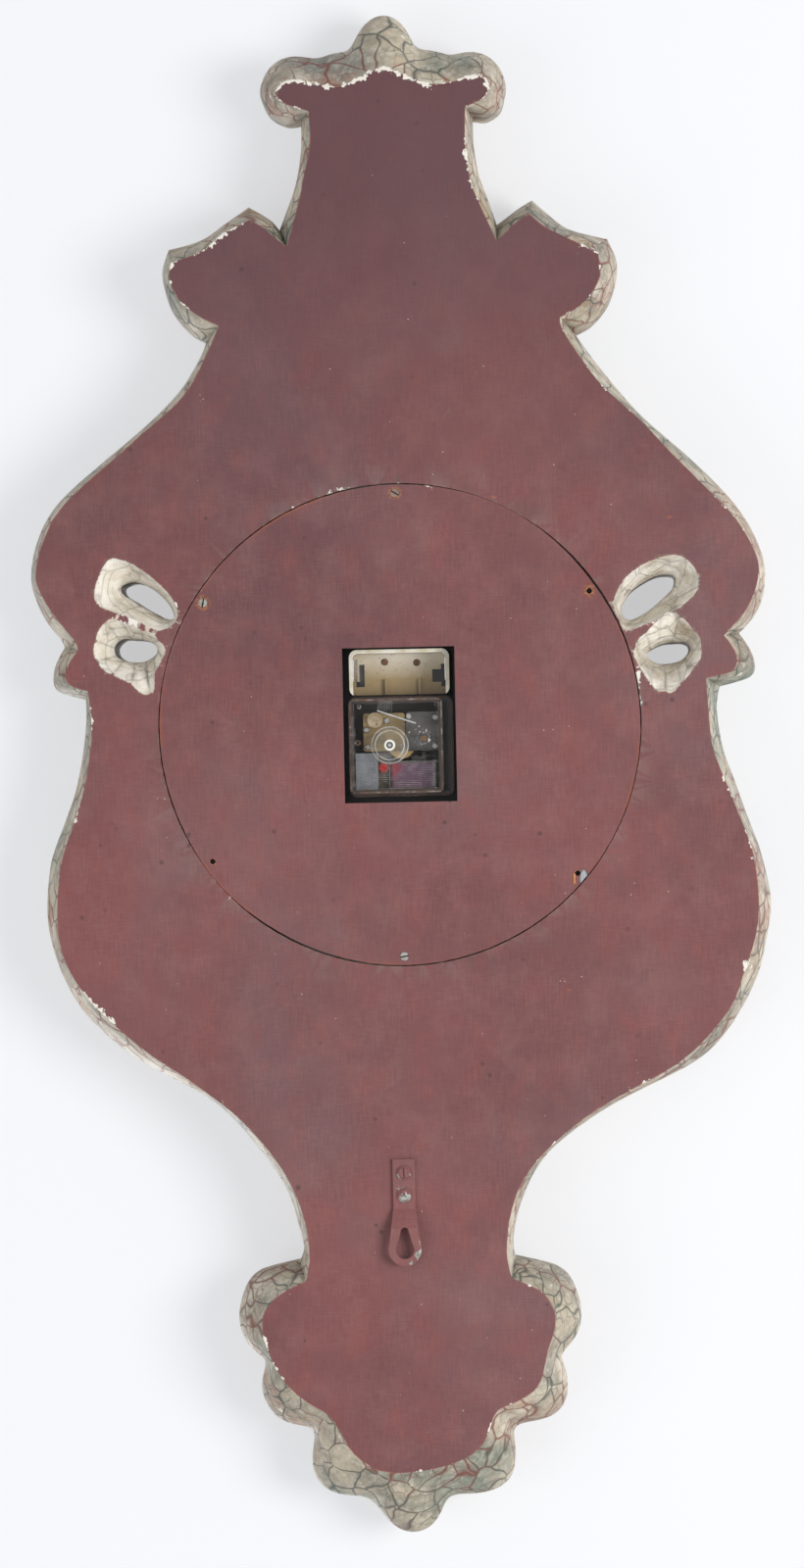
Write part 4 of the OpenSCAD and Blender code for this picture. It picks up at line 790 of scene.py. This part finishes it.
bpy.ops.object.select_all(action="DESELECT")
coverPiece = disc(0, cover["z"], 0, cover["radius"], cover["thick"], 360)
coverPiece.name = coverPiece.data.name = "coverBoard"
for angle in (*cover["screws"], *cover["empty"]):
    x, z = screwPlace(angle)
    cutWith(coverPiece, disc(x, z, -1 * mm, cover["shank"], cover["thick"] + 2 * mm, 32))
    if angle in cover["screws"]:
        cutWith(coverPiece, disc(x, z, -0.01 * mm, cover["shank"], 2.2 * mm, 32, cover["head"]))
bpy.ops.mesh.primitive_cube_add(size=1, location=(0, -3 * mm, cover["z"]))
window = bpy.context.object
window.scale = (cover["window"][0], 10 * mm, cover["window"][1])
bpy.ops.object.transform_apply(location=True, rotation=True, scale=True)
cutWith(coverPiece, window)
bm = bmesh.new()
bm.from_mesh(coverPiece.data)
for v in bm.verts:
    x, z = v.co.x, v.co.z - cover["z"]
    if math.hypot(x, z) > cover["radius"] - 0.2 * mm:
        a = math.atan2(z, x)
        ragged = 0.30 * noise.noise(Vector((math.cos(a) * 3, math.sin(a) * 3, 2)))
        ragged += 0.22 * noise.noise(Vector((a * 30, 0, 0)))
        turned = math.degrees(a) % 360
        gap = sum(wider * math.exp(-((turned - middle) / over) ** 2) for middle, wider, over in cover["seam"])
        moved = min(max(gap + ragged, cover["seamLimits"][0]), cover["seamLimits"][1]) * mm
        v.co.x -= math.cos(a) * moved
        v.co.z -= math.sin(a) * moved
bm.to_mesh(coverPiece.data)
bm.free()
alone(coverPiece)
arris = coverPiece.modifiers.new("arris", "BEVEL")
arris.width, arris.segments = cover["arris"], 2
arris.limit_method, arris.angle_limit = "ANGLE", math.radians(50)
bpy.ops.object.modifier_apply(modifier="arris")
bpy.ops.object.shade_smooth_by_angle(angle=math.radians(35))
coverPiece.data.materials.clear()
rusty = [(*screwPlace(a), reach * mm) for a, reach in cover["rustAndCaseBrown"].items()]
coverPiece.data.materials.append(coverPaint(rusty, screwPlace(cover["torn"])))
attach(coverPiece, "case")
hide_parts("back_cover")
print("cover cut,", len(coverPiece.data.polygons), "faces")


# finishes of the CAD nodes that show as they are
def plain(name, light, dark, rough, metal, scale, grain=(1, 1, 1)):
    f = Finish(name)
    patch = f.noise(scale, 4, 0.6, f.scaled(grain))
    f.colour = f.mix(patch.rise(0.35, 0.65), light, dark)
    f.over((1 - f.cells(scale * 6, feature="F1").rise(0.08, 0.2)) * 0.35, dark)
    height = f.noise(scale * 9, 3, 0.6, f.scaled(grain))
    return f.done(f.colour, patch * 0.2 + (rough - 0.1), metal, height, 0.00012)


def chippedPaint(name, scale, limit):
    f = Finish(name)
    maroonColour(f)
    worn = (f.noise(scale, 4, 0.62) + f.noise(scale * 3, 2) * 0.25).rise(limit, limit + 0.03)
    metalTone = f.mix(f.noise(260, 3).rise(0.4, 0.6), (0.42, 0.43, 0.40), (0.24, 0.22, 0.19))
    f.over(worn, metalTone)
    return f.done(f.colour, 0.62 - worn * 0.18, worn * 0.55, f.noise(500, 3) - worn, 0.0003)


def clearPlastic(name, tint, see):
    f = Finish(name)
    rim = f.node("LayerWeight", {}, {"Blend": 0.35}, "Facing")
    alpha = rim * 0.5 + see + f.noise(60, 3).rise(0.5, 0.8) * 0.05
    smear = f.mix(f.noise(45, 4).rise(0.4, 0.7), tint, tuple(c * 0.7 for c in tint))
    shine = {"Specular IOR Level": 0.8}
    return f.done(smear, f.noise(90, 3) * 0.12 + 0.06, 0, f.noise(300, 2), 0.00005, Alpha=alpha, **shine)


works = {  # places on the clear case and its knob
    "rim": (-30.3 * mm, 25.3 * mm, -27.8 * mm, 28.6 * mm), "back": (-12.5 * mm, -11.5 * mm),
    "outside": (-31 * mm, 31 * mm, -28.8 * mm, 30.4 * mm), "walls": (-30 * mm, -10.5 * mm),
    "boss": (13.3 * mm, -4 * mm), "knob": (-6.3 * mm, 0),
}


def smokyCase():
    f = Finish("smokyCase")
    x, z = f.along(0), f.along(2)
    deep, back = f.along(1).rise(*works["walls"]), f.along(1).rise(*works["back"])
    inward = f.inset(*works["rim"])
    f.colour, alpha = (0.030, 0.024, 0.020), f.noise(70, 3) * 0.06 + 0.05
    lip = inward.near(0.0009, 0.0007)
    amberGlint = f.mix(f.noise(110, 3, 0.6).rise(0.42, 0.62), (0.30, 0.15, 0.085), (0.52, 0.46, 0.42))
    band = (1 - inward.rise(0.0022, 0.0034)) * back
    f.over(band, (0.070, 0.048, 0.038))
    alpha = alpha.most(band * 0.62)
    bright = f.noise(190, 3, 0.6).rise(0.35, 0.60)
    highlightLines = [  # share, strength: painted highlights, on the parts of the moulding that catch the light
        (lip, 0.85), (inward.near(0.0031, 0.0003), 0.35),
        (z.wave(0.00105) ** 3 * f.within(-0.0262, 0.0205, 0.0096, 0.0262), 0.50),
        (z.wave(0.0009) ** 2 * f.within(-0.0288, -0.0264, -0.0170, 0.0240), 0.42),
        (z.wave(0.0009) ** 2 * f.within(0.0186, 0.0222, 0.0090, 0.0240), 0.36),
        (x.wave(0.0013) * z.wave(0.0013) * f.within(-0.0130, -0.0040, -0.0262, -0.0200), 0.62),
        (x.near(-0.0068, 0.0003) * z.between(0.0090, 0.0250), 0.45),
        (z.near(0.0068, 0.0003) * x.between(-0.0270, 0.0205), 0.40),
        (f.around(*works["boss"]).near(0.0036, 0.0005), 0.50),
        (f.around(-0.0240, -0.0231).near(0.0010, 0.0006), 0.75),
        (f.around(0.0217, -0.0236).near(0.0010, 0.0006), 0.75),
        (f.around(-0.0251, -0.0017).near(0.0012, 0.0008), 0.85),
    ]
    outward = f.inset(*works["outside"])
    # the outer walls of the case near its rim are painted brown, darker and lighter by noise
    step = (1 - deep.rise(0.30, 0.34)) * deep.rise(0.02, 0.05)
    rustAndCaseBrown = f.mix(bright, (0.085, 0.045, 0.030), (0.20, 0.105, 0.07))
    f.over(step * (1 - outward.rise(0.0014, 0.0022)), rustAndCaseBrown)
    alpha = alpha.most(step * (1 - outward.rise(0.0030, 0.0045)) * 0.72)
    for share, strength in highlightLines:
        share = share * back * bright * strength
        f.over(share, amberGlint if strength == 0.85 else (0.66, 0.65, 0.64))
        alpha = alpha.most(share)
    # painted glints scattered round the boss
    spark = f.noise(620, 2, 0.5).rise(0.62, 0.66) * (1 - f.around(*works["boss"]).rise(0.0045, 0.0085)) * back
    f.over(spark, (0.75, 0.74, 0.72))
    boss = (1 - f.around(0.0139, -0.0036).rise(0.0015, 0.0022)) * back
    f.over(boss, (0.17, 0.085, 0.035))
    alpha = alpha.most(spark * 0.7).most(boss * 0.8).most((1 - deep) * 0.5)
    return f.done(f.colour, f.noise(90, 3) * 0.12 + 0.05, 0, f.noise(300, 2), 0.00005, Alpha=alpha)


def clearKnob():
    f = Finish("clearKnob")
    r = f.around(*works["knob"])
    arc = f.noise(90, 2, 0.5).rise(0.40, 0.62) * 0.6 + 0.4
    # painted highlights: two bright rings on the knob, broken up by noise
    ring = r.near(0.0086, 0.0005).most(r.near(0.0108, 0.0006)) * arc
    alpha = (ring * 0.75).most(f.noise(120, 3).rise(0.5, 0.75) * 0.14 + 0.05)
    return f.done((0.62, 0.60, 0.57), 0.08, 0, f.noise(300, 2), 0.00005, Alpha=alpha)


def whiteCollar():
    f = Finish("whiteCollar")
    r = f.around(*works["knob"])
    f.colour = f.mix(r.between(0.0012, 0.0020), (0.80, 0.78, 0.72), (0.015, 0.013, 0.012))
    grey = f.mix(f.noise(800), (0.30, 0.29, 0.27), (0.12, 0.11, 0.10))
    f.over(1 - r.rise(0.0011, 0.0013), grey)
    return f.done(f.colour, f.noise(200) * 0.15 + 0.3, 0, f.noise(500), 0.00005)


def holderPlastic():
    f = Finish("holderPlastic")
    x, z, y = f.along(0), f.along(2), f.along(1)
    # painted reflection: the plate is pale at its top, turning brown then dark brown towards the case, and
    # browner towards both sides
    reflectionFall = ((z + 0.0530) / 0.0230).most(0).least(1) + (f.noise(60, 3, 0.6) - 0.5) * 0.5
    side = ((x - 0.002) / 0.030).size()
    plate = f.mix(reflectionFall.rise(0.05, 0.55), (0.66, 0.60, 0.50), (0.34, 0.25, 0.125))
    plate = f.mix(reflectionFall.rise(0.55, 1.1) * 0.8, plate, (0.15, 0.095, 0.045))
    plate = f.mix(side.rise(0.2, 1.0) * 0.35, plate, (0.42, 0.32, 0.17))
    plate = f.mix(f.noise(420, 3, 0.6).rise(0.60, 0.72) * 0.5, plate, (0.20, 0.13, 0.07))
    slots = f.within(-0.0262, -0.0212, -0.0483, -0.0350).most(f.within(0.0190, 0.0242, -0.0448, -0.0372))
    slots = slots.most(f.within(0.0242, 0.0278, -0.0479, -0.0345)) * (1 - y.rise(-0.0285, -0.0275))
    rim = y.rise(-0.0135, -0.0125)
    cream = f.mix(f.noise(90, 3).rise(0.4, 0.6), (0.84, 0.80, 0.70), (0.66, 0.58, 0.42))
    f.colour = f.mix(rim, plate, cream)
    f.over(slots, (0.012, 0.010, 0.009))
    return f.done(f.colour, f.noise(80, 3) * 0.2 + 0.22, 0, f.noise(260, 3), 0.0001)


def winding():
    f = Finish("copperWire")
    z = f.along(2)
    tone = f.mix(f.noise(40, 3).rise(0.35, 0.65), (0.34, 0.165, 0.235), (0.22, 0.135, 0.20))
    f.colour = f.mix(z.wave(0.00055) * 0.55, tone, (0.10, 0.055, 0.085))
    glow = 1 - f.around(-0.0085, 0.0120).rise(0.002, 0.010)
    f.over(glow * 0.85, (0.55, 0.035, 0.035))
    return f.done(f.colour, f.noise(300) * 0.2 + 0.3, 0.2, z.wave(0.00055), 0.0001)


def dialEnamel():  # its back is black
    f = Finish("dialEnamel")
    front = f.mix(f.noise(14, 4, 0.6).rise(0.35, 0.65), (0.80, 0.75, 0.62), (0.72, 0.66, 0.52))
    colour = f.mix(f.along(1).rise(-0.0377, -0.0372), front, (0.008, 0.006, 0.005))
    return f.done(colour, f.noise(14) * 0.2 + 0.22, 0, f.noise(126, 3), 0.00012)


def slottedHead(name, places, light, painted):  # painted shade in the slot, painted over where it says
    f = Finish(name)
    tone = f.mix(f.noise(500, 3, 0.6).rise(0.4, 0.62), light, tuple(c * 0.45 for c in light))
    for x, z in places:
        tone = f.mix((1 - f.around(x, z).rise(0.003, 0.0035)) * 0.75, tone, painted)
    # painted shade: deeper than 0.4 mm, in the slot, the head turns near black
    tone = f.mix(1 - f.along(1).rise(-0.0007, -0.0004), tone, (0.035, 0.020, 0.014))
    return f.done(tone, f.noise(400) * 0.25 + 0.3, 0.35, f.noise(900, 3), 0.0001)


finishOf = {  # by the nodes that have it
    "dial_screws mounting_washer setting_arbor minute_arbor steel_pillars steel_bridge_screws"
    " brass_bridge_screws":
        plain("plainSteel", (0.50, 0.49, 0.47), (0.30, 0.28, 0.26), 0.38, 0.9, 120, (1, 0.2, 1)),
    "battery_spring battery_contact quartz_can":
        plain("brightSteel", (0.78, 0.78, 0.76), (0.60, 0.59, 0.57), 0.25, 1, 150),
    "cover_screws": slottedHead("wornScrew", [screwPlace(270)], (0.40, 0.38, 0.35), (0.22, 0.125, 0.105)),
    "holder_screws": plain("brownedScrew", (0.20, 0.105, 0.06), (0.085, 0.045, 0.03), 0.5, 0.4, 500),
    "hand_nut mounting_bush mounting_nut brass_pillars hour_wheel intermediate_wheel drive_wheel":
        plain("turnedBrass", (0.72, 0.52, 0.24), (0.50, 0.34, 0.14), 0.3, 1, 90, (1, 0.3, 1)),
    "brass_bridge":
        plain("bridgeBrass", (0.36, 0.26, 0.115), (0.14, 0.10, 0.055), 0.36, 0.5, 110, (0.5, 1, 1)),
    "steel_bridge":
        plain("greyPlate", (0.13, 0.125, 0.12), (0.060, 0.055, 0.050), 0.35, 0.4, 160, (0.3, 1, 1)),
    "movement_base": plain("blackPlastic", (0.020, 0.018, 0.017), (0.010, 0.009, 0.009), 0.5, 0, 90),
    "hour_numerals hour_hand minute_hand":
        plain("blackPaint", (0.022, 0.019, 0.017), (0.012, 0.010, 0.009), 0.4, 0, 60),
    "battery_holder": holderPlastic(),
    "regulator_disc": plain("creamDisc", (0.62, 0.52, 0.36), (0.36, 0.25, 0.14), 0.4, 0, 130),
    "stator": plain("darkSteel", (0.085, 0.082, 0.078), (0.035, 0.033, 0.031), 0.4, 0.4, 120),
    "knob_collar": whiteCollar(),
    "coil_bobbin": plain("bobbinPlastic", (0.16, 0.14, 0.13), (0.08, 0.07, 0.065), 0.4, 0, 90),
    "third_wheel fourth_wheel fifth_wheel":
        plain("creamWheels", (0.70, 0.62, 0.44), (0.55, 0.47, 0.31), 0.4, 0, 120),
    "coil_winding": winding(),
    "rotor": plain("greyMagnet", (0.15, 0.15, 0.16), (0.09, 0.09, 0.10), 0.4, 0.5, 120),
    "shield_bracket":
        plain("shieldSheet", (0.34, 0.35, 0.37), (0.16, 0.165, 0.18), 0.35, 0.3, 70, (1, 1, 0.3)),
    "circuit_board": plain("circuitBoard", (0.11, 0.075, 0.035), (0.05, 0.035, 0.02), 0.5, 0, 120),
    "red_trimmer": plain("redPlastic", (0.62, 0.030, 0.020), (0.42, 0.015, 0.012), 0.35, 0, 120),
    "dial_plate": dialEnamel(),
    "index_wire": plain("silverWire", (0.90, 0.90, 0.88), (0.62, 0.62, 0.60), 0.3, 0.2, 300),
    "bezel_ring bezel_screws":
        plain("bezelBrass", (0.76, 0.56, 0.26), (0.58, 0.40, 0.17), 0.24, 1, 40, (1, 0.2, 1)),
    "hanger_strap": chippedPaint("hangerPaint", 70, 0.72),
    "hanger_screws": chippedPaint("hangerScrewPaint", 190, 0.68),
    "clear_case": smokyCase(),
    "setting_knob": clearKnob(),
    "dial_glass": clearPlastic("dialGlass", (0.80, 0.84, 0.83), 0.05),
}
for names, finish in finishOf.items():
    for name in names.split():
        nodes[name].data.materials.clear()
        nodes[name].data.materials.append(finish)
print("finishes given,", len(finishOf), "materials")


# floor, lights and camera
stage = {
    "floorY": -0.0675, "camera": (0.0007, 0.023), "distance": 2.6, "tilt": 1.8, "roll": 0.021, "seen": 0.920,
    "film": 36, "paper": (0.93, 0.938, 0.962),
}


def pale(name, colour, seen, share):
    f = Finish(name)
    lit = f.node("BsdfDiffuse", {}, {"Color": (*colour, 1)})
    glow = f.node("Emission", {}, {"Color": (*seen, 1), "Strength": 1})
    behind = f.node("NewGeometry", {}, {}, "Backfacing")
    clear = f.node("BsdfTransparent", {}, {})
    solid = f.node("MixShader", {}, {0: f.shown() * share, 1: lit, 2: glow})
    return f.ends(f.node("MixShader", {}, {0: behind, 1: solid, 2: clear}))


bpy.ops.object.select_all(action="DESELECT")
bpy.ops.mesh.primitive_plane_add(size=9, location=(0, stage["floorY"], 0), rotation=(-math.pi / 2, 0, 0))
floor = bpy.context.object
floor.name = "paleFloor"
floor.data.materials.append(pale("paleFloor", (0.86, 0.87, 0.89), stage["paper"], 0.55))
floor.visible_shadow = False

room = Finish("softRoom", bpy.data.worlds)
lit = room.node("Background", {}, {"Color": (0.95, 0.97, 1, 1), "Strength": 0.55})
seen = room.node("Background", {}, {"Color": (*stage["paper"], 1), "Strength": 1})
sky = room.node("MixShader", {}, {0: room.shown(), 1: lit, 2: seen})
bpy.context.scene.world = room.ends(sky, "World")


def softLight(name, place, size, power, colour=(1, 1, 1)):
    data = bpy.data.lights.new(name, "AREA")
    data.shape, data.size, data.energy, data.color = "DISK", size, power, colour
    lamp = bpy.data.objects.new(name, data)
    bpy.context.collection.objects.link(lamp)
    aim = (-Vector(place)).to_track_quat("-Z", "Y")
    lamp.matrix_world = Matrix.Translation(place) @ aim.to_matrix().to_4x4()


softLight("keyLight", (1.7, 2.1, 0.1), 1.3, 50, (1, 0.985, 0.96))
softLight("fillLight", (-1.8, 2.0, 0.8), 2.0, 16, (0.96, 0.98, 1))
softLight("frontLight", (-1.2, -2.6, 1.6), 1.6, 42)
softLight("frontFill", (1.8, -2.2, 0.2), 2.0, 16)

cameraData = bpy.data.cameras.new("photoCamera")
camera = bpy.data.objects.new("photoCamera", cameraData)
bpy.context.collection.objects.link(camera)
tilt = math.radians(stage["tilt"])
away = Vector((math.sin(tilt), math.cos(tilt), 0))
right = Vector((1, 0, stage["roll"]))
right = (right - away * right.dot(away)).normalized()
up = away.cross(right)
centre = Vector((stage["camera"][0], 0, stage["camera"][1]))
turned = Matrix((right, up, away)).transposed().to_4x4()
camera.matrix_world = Matrix.Translation(centre + away * stage["distance"]) @ turned
cameraData.sensor_fit = "VERTICAL"
cameraData.sensor_height = cameraData.sensor_width = stage["film"]
cameraData.lens = stage["film"] * stage["distance"] / stage["seen"]
cameraData.dof.use_dof = False
bpy.context.scene.camera = camera
bpy.context.scene.view_settings.view_transform = "Standard"
print("stage set")
